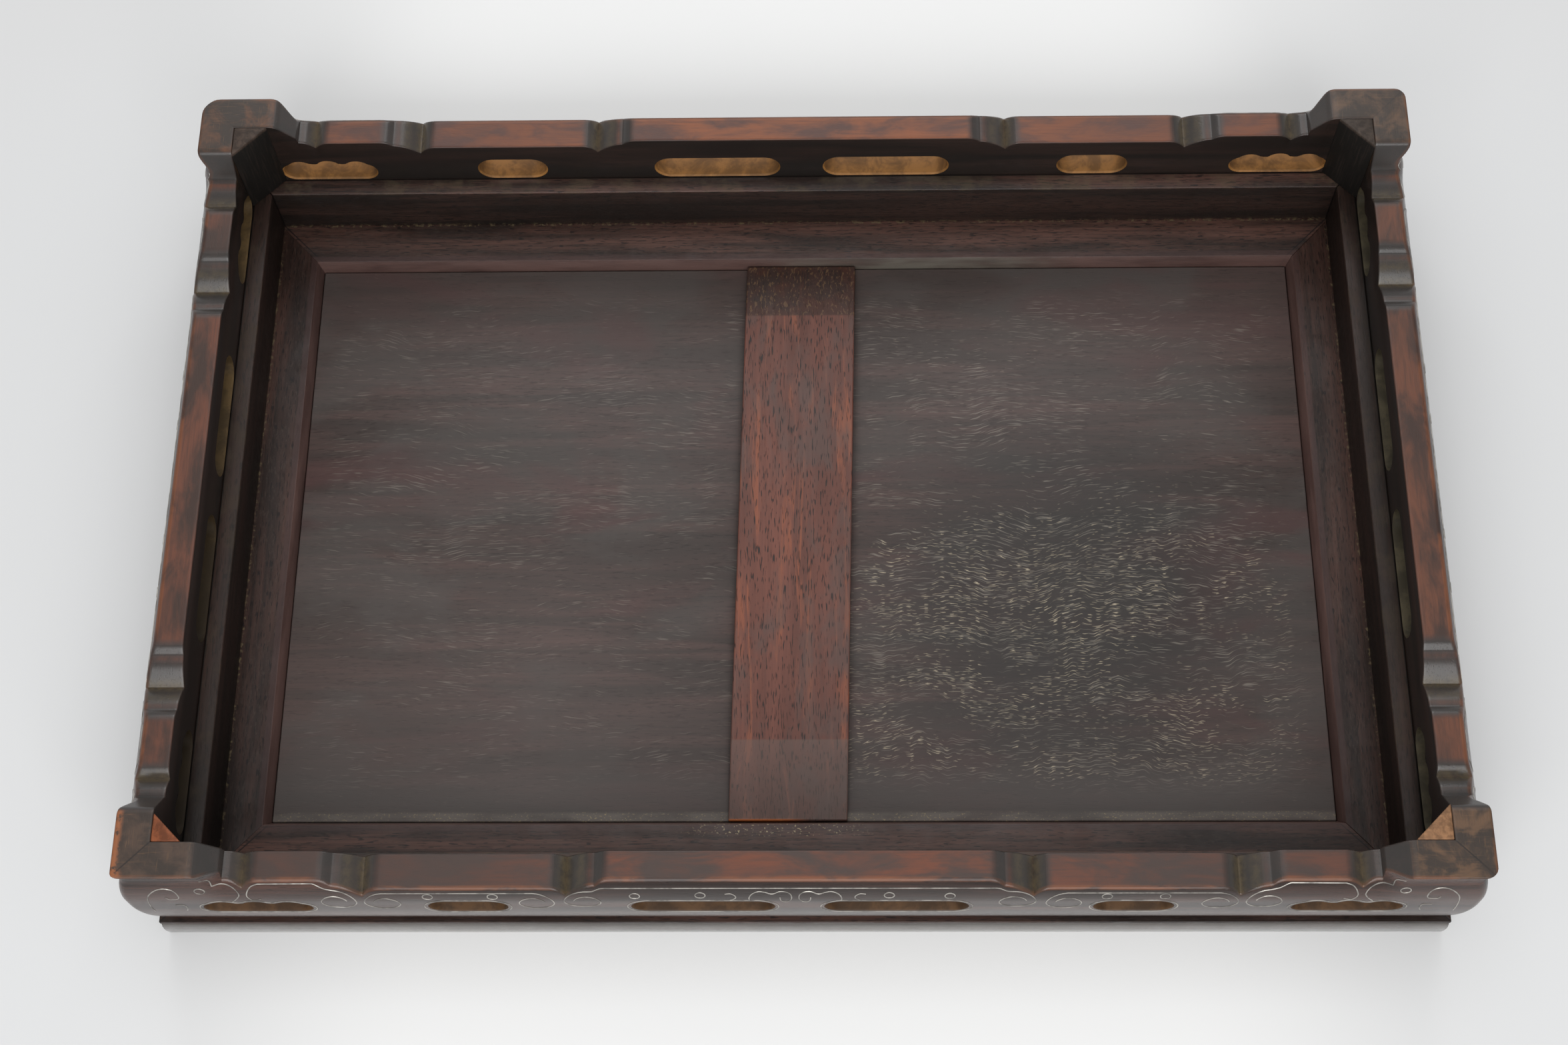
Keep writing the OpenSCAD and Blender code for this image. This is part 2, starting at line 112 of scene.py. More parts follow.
# Flat length, shoulder radius, slope in degrees and run of a foot, seen on a long or a short side
FOOT_SHAPE = {
    "long": (23.4, 5, 50, 8.6),
    "short_back": (20.6, 2.5, 67, 5.6),
    "short_front": (20.6, 3.5, 55, 8.2),
}
SMALL_LOBE_RISE = 0.4
SMALL_LOBE_SWELL = 0.8
SMALL_CUSP = {"long": 37.4, "short": 35.6}
SMALL_CUSP_DROP = 2.7
DEEP_CUSP_DROP = 6.6
END_LOBE = {"long": 16.6, "short": 12}
LOBE_ROUND = 6.2
SHOULDER_RUN = 5
STEP_RUN = 4.2
STEP_DROP = 1.9
SLOPE_RUN = 9.3
SLOPE_SWELL = 1.8
MIDDLE_LOBE = 55.5
SIDE_LOBE_DROP = 3.2
SIDE_SHOULDER = 5.3

# Outer face: a flat belly that rolls in towards both edges, and flares out again at the foot ends
BELLY_TOP = 45
BELLY_FOOT = 40
# Radius of the roll at the lobes, how far up it goes on, and the radius at the feet and below the belly
LOBE_ROLL = 20
LOBE_ROLL_RISE = 14
NECK_ROLL = 40
LOWER_ROLL = 92
# Outward slope of the foot ends, the rise over which it begins, and how far it goes on past a foot's flat
FLARE = 0.25
FLARE_RISE = 6
FLARE_REACH = 2
# How far each foot's rim stands inside the belly
RIM_INSET = {"front_left": 1.4, "front_right": 0.8, "back_left": 0.9, "back_right": 0.6}
# Radius of each foot's upright corner at its end, and of all of them from that far below the edge downwards
CORNER_ROUND = {"front_left": 2.6, "front_right": 4.5, "back_left": 7.5, "back_right": 5}
LOW_CORNER_ROUND = 2.5
LOW_CORNER_DROP = 14

# Piercings, as in the solids
SLOT_SET = 0.8
SLOT_Z = LEDGE_Z + SLOT_SET
SLOT_HEIGHT = 10.4
LONG_SLOT = 42
SLOT_BRIDGE = 15.5
SHORT_SLOT = 23
CUSPED_SLOT = 32
CUSPED_SET = 39.3
CUSPED_ROUND = 4.2
CUSPED_STEP = 0.4
LONG_SLOT_X = (SLOT_BRIDGE + LONG_SLOT) / 2


def smooth(value, low, high):
    """Smooth step from 0 at low to 1 at high."""
    t = min(1, max(0, (value - low) / (high - low)))
    return t * t * (3 - 2 * t)


def blend(a, b, share):
    """Value that lies a share of the way from a to b."""
    return a + (b - a) * share


class Side:
    """Outline of one side's apron, drawn in the front position."""

    def __init__(self, name):
        self.name = name
        self.kind = "long" if ALONG[name] == "X" else "short"
        self.half = HALF_X if self.kind == "long" else HALF_Y
        self.inner = INNER_Y if self.kind == "long" else INNER_X
        self.inner_end = INNER_X if self.kind == "long" else INNER_Y
        self.lobe_start = SMALL_CUSP[self.kind] + SHOULDER_RUN
        self.lobe_stop = self.lobe_start + END_LOBE[self.kind]
        self.cusp = self.half - self.lobe_stop - STEP_RUN - SLOPE_RUN
        self.middle = MIDDLE_LOBE if self.kind == "long" else self.cusp - SLOPE_RUN - STEP_RUN
        self.middle_cusp = self.middle + STEP_RUN + SLOPE_RUN
        self.matrix = Matrix.Rotation(math.radians(TURN[name]), 4, "Z")

    def slots(self):
        """Middle, length and kind of each piercing on the right half."""
        slots = [(LONG_SLOT_X, LONG_SLOT, "round"), (self.half - CUSPED_SET, CUSPED_SLOT, "cusped")]
        if self.kind == "long":
            slots.append(((self.middle_cusp + self.cusp) / 2, SHORT_SLOT, "round"))
        return slots

    def height(self, place):
        """Height of the scalloped edge at a place."""
        x = abs(place)
        end = self.half - x
        tops = [
            EDGE_Z - DEEP_CUSP_DROP - 1,
            self.foot_top(end, self.foot_shape(place)),
            lobe_top(end, self.lobe_start, self.lobe_stop, EDGE_Z),
            slope_top(end, self.lobe_stop + STEP_RUN),
            lobe_top(x, -self.middle, self.middle, EDGE_Z),
            slope_top(x, self.middle + STEP_RUN),
        ]
        if self.kind == "long":
            start, stop = self.middle_cusp + SIDE_SHOULDER, self.cusp - SIDE_SHOULDER
            tops.append(lobe_top(x, start, stop, EDGE_Z - SIDE_LOBE_DROP))
        return max(tops)

    def foot_shape(self, x):
        """Sizes of the foot at the end where x lies."""
        if self.kind == "long":
            return FOOT_SHAPE["long"]
        return FOOT_SHAPE["short_front" if "front" in self.corner(x) else "short_back"]

    def foot_top(self, end, shape):
        """Top of the foot and its small lobe at a distance from the apron's end, or 0 past them."""
        flat, radius, slope, run = shape
        angle = math.radians(slope)
        slope_end = flat + run
        cusp = SMALL_CUSP[self.kind]
        turn = flat + radius * math.sin(angle)
        if end <= flat:
            return FOOT_Z
        if end <= turn:
            return FOOT_Z - roll(radius, end - flat)
        if end <= slope_end:
            return FOOT_Z - radius * (1 - math.cos(angle)) - (end - turn) * math.tan(angle)
        if end <= cusp:
            share = (end - slope_end) / (cusp - slope_end)
            swell = SMALL_LOBE_SWELL * math.sin(math.pi * share)
            return EDGE_Z + blend(SMALL_LOBE_RISE, -SMALL_CUSP_DROP, share) + swell
        return 0

    def corner(self, x):
        """Name of the corner at the end where x lies."""
        return END_CORNERS[self.name][0 if x < 0 else 1]

    def cusps(self):
        """Distances from the middle where dust lies, with how much of it."""
        cusps = [(self.half - SMALL_CUSP[self.kind], 0.9), (self.cusp, 1), (self.cusp + SLOPE_RUN / 2, 0.5)]
        if self.kind == "long":
            cusps += [(self.middle_cusp, 1), (self.middle_cusp - SLOPE_RUN / 2, 0.5)]
        return cusps


def lobe_top(x, start, stop, top):
    """Top of a flat lobe with round shoulders, or 0 beside it."""
    away = max(start - x, x - stop, 0)
    if away >= LOBE_ROUND:
        return 0
    return top - LOBE_ROUND + math.sqrt(LOBE_ROUND**2 - away**2)


def slope_top(x, start):
    """Top of the slope from a lobe's step down to a deep cusp, or 0 beside it."""
    if not start <= x <= start + SLOPE_RUN:
        return 0
    return EDGE_Z - blend(STEP_DROP, DEEP_CUSP_DROP, ((x - start) / SLOPE_RUN) ** SLOPE_SWELL)


def roll(radius, away):
    """Inward drop of a roll at a distance from the belly."""
    return radius - math.sqrt(radius**2 - away**2)


def outer_face(side, x, z):
    """Thickness of an apron at a place, before its arrises are rounded."""
    if z < BELLY_FOOT:
        return THICK - roll(LOWER_ROLL, BELLY_FOOT - z)
    if z < BELLY_TOP:
        return THICK
    neck = THICK - roll(NECK_ROLL, z - BELLY_TOP)
    flare = THICK - RIM_INSET[side.corner(x)] - FLARE * (FOOT_Z - z)
    foot = blend(neck, flare, smooth(z, EDGE_Z, EDGE_Z + FLARE_RISE))
    lobe = THICK - roll(LOBE_ROLL, min(z - BELLY_TOP, LOBE_ROLL_RISE))
    flat, _, _, run = side.foot_shape(x)
    start = flat + FLARE_REACH
    return blend(foot, lobe, smooth(side.half - abs(x), start, start + run))


def surface(sizes, side, x, z, top):
    """Thickness of an apron at a place, arrises included."""
    depth = outer_face(side, x, z)
    for radius, gap in ((sizes.edge_round / MM, top - z), (sizes.lower_round / MM, z - APRON_Z)):
        if gap < radius:
            depth -= roll(radius, radius - max(0, gap))
    return depth


class StandSizes(bpy.types.PropertyGroup):
    """Sizes that the looks add to the solids."""

    arris: bpy.props.FloatProperty(
        name="Arris", description="Width of the softened arrises of the frame parts",
        default=0.0004, min=0.0001, max=0.001, unit="LENGTH", subtype="DISTANCE", precision=5)
    edge_round: bpy.props.FloatProperty(
        name="Edge round", description="Radius of the aprons' outer arris along the scalloped edge",
        default=0.0008, min=0.0003, max=0.002, unit="LENGTH", subtype="DISTANCE", precision=5)
    lower_round: bpy.props.FloatProperty(
        name="Lower round", description="Radius of the aprons' arris beside the waist",
        default=0.0012, min=0.0005, max=0.003, unit="LENGTH", subtype="DISTANCE", precision=5)
    inner_round: bpy.props.FloatProperty(
        name="Inner round", description="Radius of the aprons' inner arris",
        default=0.0005, min=0.0002, max=0.002, unit="LENGTH", subtype="DISTANCE", precision=5)
    slot_flare: bpy.props.FloatProperty(
        name="Piercing flare", description="Width of the softened rim of the piercings",
        default=0.0005, min=0.0001, max=0.001, unit="LENGTH", subtype="DISTANCE", precision=5)
    wire_radius: bpy.props.FloatProperty(
        name="Wire radius", description="Radius of the inlaid silver wire",
        default=0.0002, min=0.0001, max=0.0005, unit="LENGTH", subtype="DISTANCE", precision=5)


class StandColours(bpy.types.PropertyGroup):
    """Colours of the woods and the wire."""

    dark: bpy.props.FloatVectorProperty(
        name="Dark wood", description="Darkest tone of the polished hardwood",
        default=(0.016, 0.009, 0.007), min=0, max=1, subtype="COLOR")
    warm: bpy.props.FloatVectorProperty(
        name="Warm wood", description="Lighter tone of the polished hardwood",
        default=(0.066, 0.031, 0.023), min=0, max=1, subtype="COLOR")
    worn: bpy.props.FloatVectorProperty(
        name="Worn wood", description="Orange wood where the polish is rubbed off",
        default=(0.26, 0.09, 0.034), min=0, max=1, subtype="COLOR")
    brace: bpy.props.FloatVectorProperty(
        name="Brace wood", description="Red-brown wood of the cross brace",
        default=(0.115, 0.038, 0.025), min=0, max=1, subtype="COLOR")
    roll: bpy.props.FloatVectorProperty(
        name="Rolled shoulders", description="Grey polish on the shoulders of the lobes",
        default=(0.036, 0.033, 0.031), min=0, max=1, subtype="COLOR")
    pore: bpy.props.FloatVectorProperty(
        name="Filled pores", description="Pale filler in the panel's pores",
        default=(0.46, 0.39, 0.28), min=0, max=1, subtype="COLOR")
    dust: bpy.props.FloatVectorProperty(
        name="Dust", description="Dust in the cusps and inner corners",
        default=(0.11, 0.083, 0.045), min=0, max=1, subtype="COLOR")
    silver: bpy.props.FloatVectorProperty(
        name="Silver", description="Tarnished silver wire",
        default=(0.42, 0.4, 0.365), min=0, max=1, subtype="COLOR")


class Nodes:
    """Builds one material's nodes on Object coordinates in millimetres."""

    def __init__(self, name, gloss=0.5):
        self.material = bpy.data.materials.new(name)
        self.material.use_nodes = True
        self.tree = self.material.node_tree
        self.tree.nodes.clear()
        self.shader = self.node("ShaderNodeBsdfPrincipled")
        self.shader.inputs["Specular IOR Level"].default_value = gloss
        self.node("ShaderNodeOutputMaterial", self.shader.outputs[0])
        self.place = self.stretch(MM, MM, MM, self.node("ShaderNodeTexCoord").outputs["Object"])
        self.x, self.y, self.z = self.node("ShaderNodeSeparateXYZ", self.place).outputs
        self.colour = (0, 0, 0)

    def node(self, kind, *values):
        """New node of a kind, with the values of its first sockets."""
        node = self.tree.nodes.new(kind)
        for socket, value in zip(node.inputs, values):
            self.set(socket, value)
        return node

    def set(self, socket, value):
        """Links a socket or sets its value."""
        if isinstance(value, bpy.types.NodeSocket):
            self.tree.links.new(value, socket)
        elif isinstance(socket.default_value, float):
            socket.default_value = value
        elif len(socket.default_value) == 4 and len(value) == 3:
            socket.default_value = (*value, 1)
        else:
            socket.default_value = value

    def math(self, operation, a, b=0.0):
        """Result of an operation on one or two values."""
        node = self.node("ShaderNodeMath", a, b)
        node.operation = operation
        return node.outputs[0]

    def times(self, product, *factors):
        """Product of two or more values."""
        for factor in factors:
            product = self.math("MULTIPLY", product, factor)
        return product

    def absolute(self, value):
        """The value without its sign."""
        return self.math("ABSOLUTE", value)

    def stretch(self, x, y, z, place=None):
        """A place divided by a length along each axis, so that a pattern there gets these lengths."""
        node = self.node("ShaderNodeVectorMath", place or self.place, (1 / x, 1 / y, 1 / z))
        node.operation = "MULTIPLY"
        return node.outputs[0]

    def grain(self, along, length, width):
        """Coordinates whose pattern is that long along the grain and that wide across it."""
        return self.stretch(length if along == "X" else width, length if along == "Y" else width, width)

    def shifted(self, shift):
        """The place moved along Y by a value."""
        return self.node("ShaderNodeCombineXYZ", self.x, self.math("ADD", self.y, shift), self.z).outputs[0]

    def noise(self, place, detail, rough, warp=0.0):
        """Cloudy pattern about one unit in size."""
        node = self.node("ShaderNodeTexNoise", place)
        node.inputs["Scale"].default_value = 1
        node.inputs["Detail"].default_value = detail
        node.inputs["Roughness"].default_value = rough
        node.inputs["Distortion"].default_value = warp
        return node.outputs["Fac"]

    def step(self, value, low, high, to_low=0.0, to_high=1.0):
        """Smooth step of a value between two limits, from one result to another."""
        node = self.node("ShaderNodeMapRange", value, low, high, to_low, to_high)
        node.interpolation_type = "SMOOTHSTEP"
        return node.outputs["Result"]

    def mix(self, share, a, b):
        """Colour that lies a share of the way from a to b."""
        node = self.node("ShaderNodeMix", share)
        node.data_type = "RGBA"
        self.set(node.inputs[6], a)
        self.set(node.inputs[7], b)
        return node.outputs[2]

    def lay(self, share, tone):
        """Lays a tone over the colour made so far, with that share of it showing."""
        self.colour = self.mix(share, self.colour, tone)

    def attribute(self, name):
        """Value stored on the mesh."""
        node = self.node("ShaderNodeAttribute")
        node.attribute_name = name
        return node.outputs["Fac"]

    def over(self, half_x, half_y):
        """Distances past the X and Y sides of a rectangle round the middle, negative before them."""
        over_x = self.math("SUBTRACT", self.absolute(self.x), half_x)
        over_y = self.math("SUBTRACT", self.absolute(self.y), half_y)
        return over_x, over_y

    def outside(self, half_x, half_y):
        """Distance outside a rectangle round the middle, negative inside it."""
        return self.math("MAXIMUM", *self.over(half_x, half_y))

    def mitre(self, half_x, half_y):
        """Distance along X from the mitres at a rectangle's corners."""
        return self.math("SUBTRACT", *self.over(half_x, half_y))

    def away(self, point, place=None):
        """Distance of the place, or of another one that is given, from a point."""
        node = self.node("ShaderNodeVectorMath", place or self.place, point)
        node.operation = "DISTANCE"
        return node.outputs["Value"]

    def by_corner(self, tones):
        """Colour that passes from each corner's tone to the next one's."""
        reach = 40
        right = self.step(self.x, -reach, reach)
        front = self.mix(right, tones["front_left"], tones["front_right"])
        back = self.mix(right, tones["back_left"], tones["back_right"])
        return self.mix(self.step(self.y, -reach, reach), front, back)

    def bump(self, height, strength, depth):
        """Makes the surface look raised by a height, one unit of which is that deep."""
        node = self.node("ShaderNodeBump", strength, depth * MM)
        self.set(node.inputs["Height"], height)
        self.set(self.shader.inputs["Normal"], node.outputs[0])

    def finish(self, roughness):
        """The material with the colour made so far."""
        self.set(self.shader.inputs["Base Color"], self.colour)
        self.set(self.shader.inputs["Roughness"], roughness)
        return self.material

    def wood(self, along, dark, warm, pore_dark=0.5):
        """Starts the colour with a close-grained hardwood, and gives the height of its grain for the bump."""
        tone = self.step(self.noise(self.grain(along, 120, 9), 3, 0.6, 0.6), 0.36, 0.66)
        fibre = self.noise(self.grain(along, 22, 0.8), 2, 0.6)
        pores = self.step(self.noise(self.grain(along, 3.4, 0.4), 1, 0.5), 0.6, 0.68)
        self.colour = self.mix(tone, dark, warm)
        self.lay(self.step(fibre, 0.35, 0.7, 0.0, 0.5), dark)
        self.lay(self.times(pores, pore_dark), (0.006, 0.004, 0.003))
        return self.math("SUBTRACT", self.times(fibre, 0.5), pores)


# Dull and bright tone of the worn flats on each side
FLAT_TONES = {
    "front": ((0.042, 0.025, 0.02), (0.12, 0.036, 0.017)),
    "back": ((0.06, 0.021, 0.013), (0.185, 0.055, 0.018)),
    "left": ((0.036, 0.019, 0.014), (0.11, 0.037, 0.02)),
    "right": ((0.036, 0.018, 0.013), (0.105, 0.037, 0.019)),
}
# Bare wood inside each side's piercings
SLOT_TONES = {
    "front": (0.085, 0.042, 0.016),
    "back": (0.27, 0.125, 0.034),
    "left": (0.1, 0.062, 0.024),
    "right": (0.058, 0.047, 0.027),
}
# Brightest tone on each foot's end, and the dark tone of all
FOOT_TONES = {
    "front_left": (0.06, 0.037, 0.026),
    "front_right": (0.097, 0.054, 0.03),
    "back_left": (0.092, 0.04, 0.02),
    "back_right": (0.08, 0.046, 0.028),
}
FOOT_DARK = (0.03, 0.021, 0.016)
# Chipped tip of the front left foot
CHIP = (2 - HALF_X, 2 - HALF_Y, FOOT_Z)
# End grain of each corner block
BLOCK_TONES = {
    "front_left": (0.17, 0.052, 0.021),
    "front_right": (0.22, 0.115, 0.058),
    "back_left": (0.05, 0.034, 0.026),
    "back_right": (0.045, 0.033, 0.026),
}
# Greyer filler in the panel's long fine pores
FINE_PORE = (0.24, 0.215, 0.18)
# Middle of the panel's darkest patch
PANEL_DARK = (86, -24, PANEL_Z)
# Where the panel's front strip of painted light begins and where it is full
FRONT_LIGHT_STRIP = (-76, -94)
# Middle of the dusty stretch on the back rail's lip
LIP_DUST = (40, OPENING_Y, (PANEL_Z + FRAME_Z) / 2)
# Gold-coloured grit along the panel's edge, and the middle of its patch on the front rail
GRIT = (0.3, 0.24, 0.14)
RAIL_GRIT = (-8, -3 - OPENING_Y, FRAME_Z)
# Lengths of the brace's sloping ends, and the places where they begin
BACK_SLOPE = 21
FRONT_SLOPE = 26
BRACE_BACK = BACK_RAIL_LOW.y - BACK_SLOPE
BRACE_FRONT = FRONT_SLOPE - BACK_RAIL_LOW.y


def frame_wood(colours, along):
    """Dark wood of the rails and waist strips, browner and glossier along X."""
    nodes = Nodes("frame_wood_" + along, gloss=0.32 if along == "X" else 0.2)
    height = nodes.wood(along, colours.dark, Vector(colours.warm) * (1.25 if along == "X" else 0.85))
    haze = nodes.step(nodes.noise(nodes.grain(along, 2.4, 0.6), 3, 0.7), 0.5, 0.72, 0.0, 0.3)
    nodes.lay(haze, (0.06, 0.044, 0.034))
    seam = nodes.step(nodes.absolute(nodes.mitre(BAND_X, BAND_Y)), 0.45, 0.15, 0.0, 0.85)
    nodes.lay(seam, (0.006, 0.004, 0.004))
    open_pores = nodes.step(nodes.noise(nodes.grain(along, 3.6, 0.5), 0, 0.5), 0.66, 0.72, 0.0, 0.75)
    nodes.lay(open_pores, (0.006, 0.004, 0.004))
    lip_wear(nodes, along)
    patches = nodes.noise(nodes.stretch(9, 9, 9), 4, 0.65)
    waist_dust_and_shade(nodes, along, colours.dust, patches)
    nodes.bump(height, 0.25, 0.12)
    on_band = nodes.step(nodes.outside(BAND_X, BAND_Y), -0.7, -0.3)
    band = nodes.times(on_band, nodes.step(nodes.z, BAND_Z + 0.8, BAND_Z + 0.2))
    # Greyer tone on the outer band: partly a dusty film, partly a painted reflection of the bright floor
    film_and_sheen = nodes.step(nodes.noise(nodes.grain(along, 30, 2), 3, 0.6), 0.3, 0.6, 0.5, 0.95)
    nodes.lay(nodes.times(band, film_and_sheen), (0.06, 0.052, 0.045))
    nodes.set(nodes.shader.inputs["Coat Weight"], band)
    nodes.shader.inputs["Coat Roughness"].default_value = 0.08
    return nodes.finish(nodes.step(patches, 0.3, 0.7, 0.38, 0.54))


def lip_wear(nodes, along):
    """Plum edge of the rails beside the panel, their rubbed lip and a patch of grit."""
    from_panel = nodes.outside(OPENING_X, OPENING_Y)
    nodes.lay(nodes.step(from_panel, 2.4, 1.8, 0.0, 0.55), (0.045, 0.024, 0.022))
    lip = nodes.step(from_panel, 0.4, -0.2, 0.0, 0.8)
    rubbed = nodes.step(nodes.noise(nodes.grain(along, 40, 6), 3, 0.6), 0.35, 0.65, 0.35, 1.0)
    dusty = nodes.step(nodes.away(LIP_DUST), 60, 25)
    nodes.lay(nodes.times(lip, rubbed), nodes.mix(dusty, (0.1, 0.058, 0.05), (0.11, 0.1, 0.082)))
    grit = nodes.step(nodes.noise(nodes.stretch(0.8, 0.6, 0.6), 1, 0.6), 0.62, 0.72)
    patch = nodes.times(nodes.step(nodes.away(RAIL_GRIT), 34, 14), nodes.step(from_panel, 4.6, 2.6))
    nodes.lay(nodes.times(grit, patch), GRIT)


def waist_dust_and_shade(nodes, along, dust, patches):
    """Painted shade on the waist strips' wall, dust in its corner and on the ledge, a darker ledge on the
    side strips, and the gap beside the aprons.
    """
    from_wall = nodes.outside(WALL_X, WALL_Y)
    # Painted shade: the wall between the frame and the ledge is darkened
    above = nodes.step(nodes.z, FRAME_Z, FRAME_Z + 0.5)
    wall = nodes.times(above, nodes.step(nodes.z, LEDGE_Z - 0.2, LEDGE_Z - 0.7))
    nodes.lay(nodes.times(wall, 0.7), (0.008, 0.006, 0.005))
    in_corner = nodes.times(nodes.step(from_wall, -1.0, -0.3), nodes.step(from_wall, 0.3, 0.0))
    low = nodes.step(nodes.z, FRAME_Z + 1.5, FRAME_Z)
    specks = nodes.step(nodes.noise(nodes.stretch(1.3, 1.3, 1.3), 2, 0.6), 0.5, 0.66)
    nodes.lay(nodes.times(in_corner, low, specks, 0.7), dust)
    ledge = nodes.step(nodes.z, LEDGE_Z - 1, LEDGE_Z - 0.3)
    nodes.lay(nodes.times(ledge, nodes.step(patches, 0.45, 0.65), 0.22), dust)
    if along == "Y":
        nodes.lay(nodes.times(ledge, 0.6), (0.014, 0.01, 0.008))
    gap = nodes.step(nodes.outside(INNER_X, INNER_Y), -0.8, -0.3, 0.0, 0.9)
    nodes.lay(nodes.times(gap, nodes.step(nodes.z, LEDGE_Z - 2, LEDGE_Z - 1)), (0.006, 0.005, 0.004))


def panel_wood(colours):
    """Wide panel, cloudy and plum in places, with painted light towards its front and back edges and at the
    front left, a dusty front margin made paler with painted light, and pale filled pores.
    """
    nodes = Nodes("panel_wood", gloss=0.27)
    height = nodes.wood("X", (0.037, 0.028, 0.025), (0.07, 0.043, 0.038), 0.4)
    clouds = nodes.noise(nodes.stretch(60, 34, 40), 4, 0.6, 0.4)
    nodes.lay(nodes.step(clouds, 0.42, 0.62, 0.0, 0.55), (0.06, 0.054, 0.05))
    plum = nodes.noise(nodes.stretch(85, 26, 40), 3, 0.6, 0.6)
    nodes.lay(nodes.step(plum, 0.52, 0.7, 0.0, 0.5), (0.068, 0.031, 0.03))
    # Painted light: lighter towards the front and back edges, lifting the shade of the aprons
    nodes.lay(nodes.step(nodes.absolute(nodes.y), 25, 85, 0.0, 0.26), (0.095, 0.077, 0.071))
    nodes.lay(nodes.step(nodes.away(PANEL_DARK), 84, 28, 0.0, 0.75), (0.02, 0.018, 0.017))
    # Painted light at the front left, where the front apron and waist shade the panel
    front_left = nodes.times(nodes.step(nodes.x, -30, -90), nodes.step(nodes.y, 10, -40))
    nodes.lay(nodes.times(front_left, 0.2), (0.105, 0.086, 0.08))
    # Painted light along the front strip
    nodes.lay(nodes.step(nodes.y, *FRONT_LIGHT_STRIP, 0.0, 0.32), (0.12, 0.108, 0.102))
    # Pale dust on the front margin, made paler still as painted light that lifts the shade under the front
    # rail
    dusty = nodes.step(nodes.noise(nodes.stretch(24, 9, 9), 3, 0.6), 0.36, 0.62, 0.25, 1.0)
    margin = nodes.times(nodes.step(nodes.y, 5.6 - OPENING_Y, 4.2 - OPENING_Y), dusty)
    nodes.lay(nodes.times(margin, 0.7), (0.17, 0.148, 0.13))
    grit = nodes.step(nodes.noise(nodes.stretch(0.8, 0.6, 0.6), 1, 0.6), 0.6, 0.7)
    nodes.lay(nodes.times(margin, grit), GRIT)
    panel_pores(nodes, colours.pore)
    nodes.bump(height, 0.2, 0.1)
    return nodes.finish(nodes.step(clouds, 0.35, 0.7, 0.4, 0.55))


def panel_pores(nodes, filler):
    """Long fine pores all over the panel, and short pale ones, wavy and dense, towards the front right."""
    right = nodes.step(nodes.x, -10, 30)
    front_right = nodes.times(right, nodes.step(nodes.y, 25, -25))
    wave = nodes.math("SUBTRACT", nodes.noise(nodes.stretch(9, 30, 20), 2, 0.5), 0.5)
    flow = nodes.math("SUBTRACT", nodes.noise(nodes.stretch(50, 40, 40), 1, 0.5), 0.5)
    wave = nodes.times(wave, nodes.math("ADD", nodes.times(front_right, 3.2), 2.4))
    rows = nodes.shifted(nodes.math("ADD", wave, nodes.times(flow, 18)))
    inside = nodes.step(nodes.outside(OPENING_X - 4, OPENING_Y - 8), 0, -12)

    thick = nodes.step(nodes.noise(nodes.stretch(42, 15, 30), 3, 0.6, 0.5), 0.38, 0.62)
    limit = nodes.math("SUBTRACT", 0.7, nodes.times(thick, 0.12))
    limit = nodes.math("SUBTRACT", limit, nodes.times(front_right, 0.025))
    fine = nodes.noise(nodes.stretch(7, 0.34, 1, rows), 1, 0.5)
    fine = nodes.times(nodes.step(fine, limit, nodes.math("ADD", limit, 0.1)), inside)
    nodes.lay(nodes.times(fine, nodes.step(right, 0, 1, 0.3, 0.42)), FINE_PORE)

    patch = nodes.step(nodes.noise(nodes.stretch(34, 22, 30), 3, 0.6, 0.8), 0.36, 0.62)
    share = nodes.math("ADD", nodes.times(front_right, 0.7), nodes.times(right, 0.3))
    dense = nodes.times(patch, share, inside)
    limit = nodes.math("SUBTRACT", 0.8, nodes.times(dense, 0.145))
    short = nodes.noise(nodes.stretch(2.8, 0.28, 1, rows), 0, 0.5)
    short = nodes.step(short, limit, nodes.math("ADD", limit, 0.06))
    nodes.lay(nodes.times(short, nodes.step(dense, 0.0, 0.8, 0.1, 0.55)), filler)


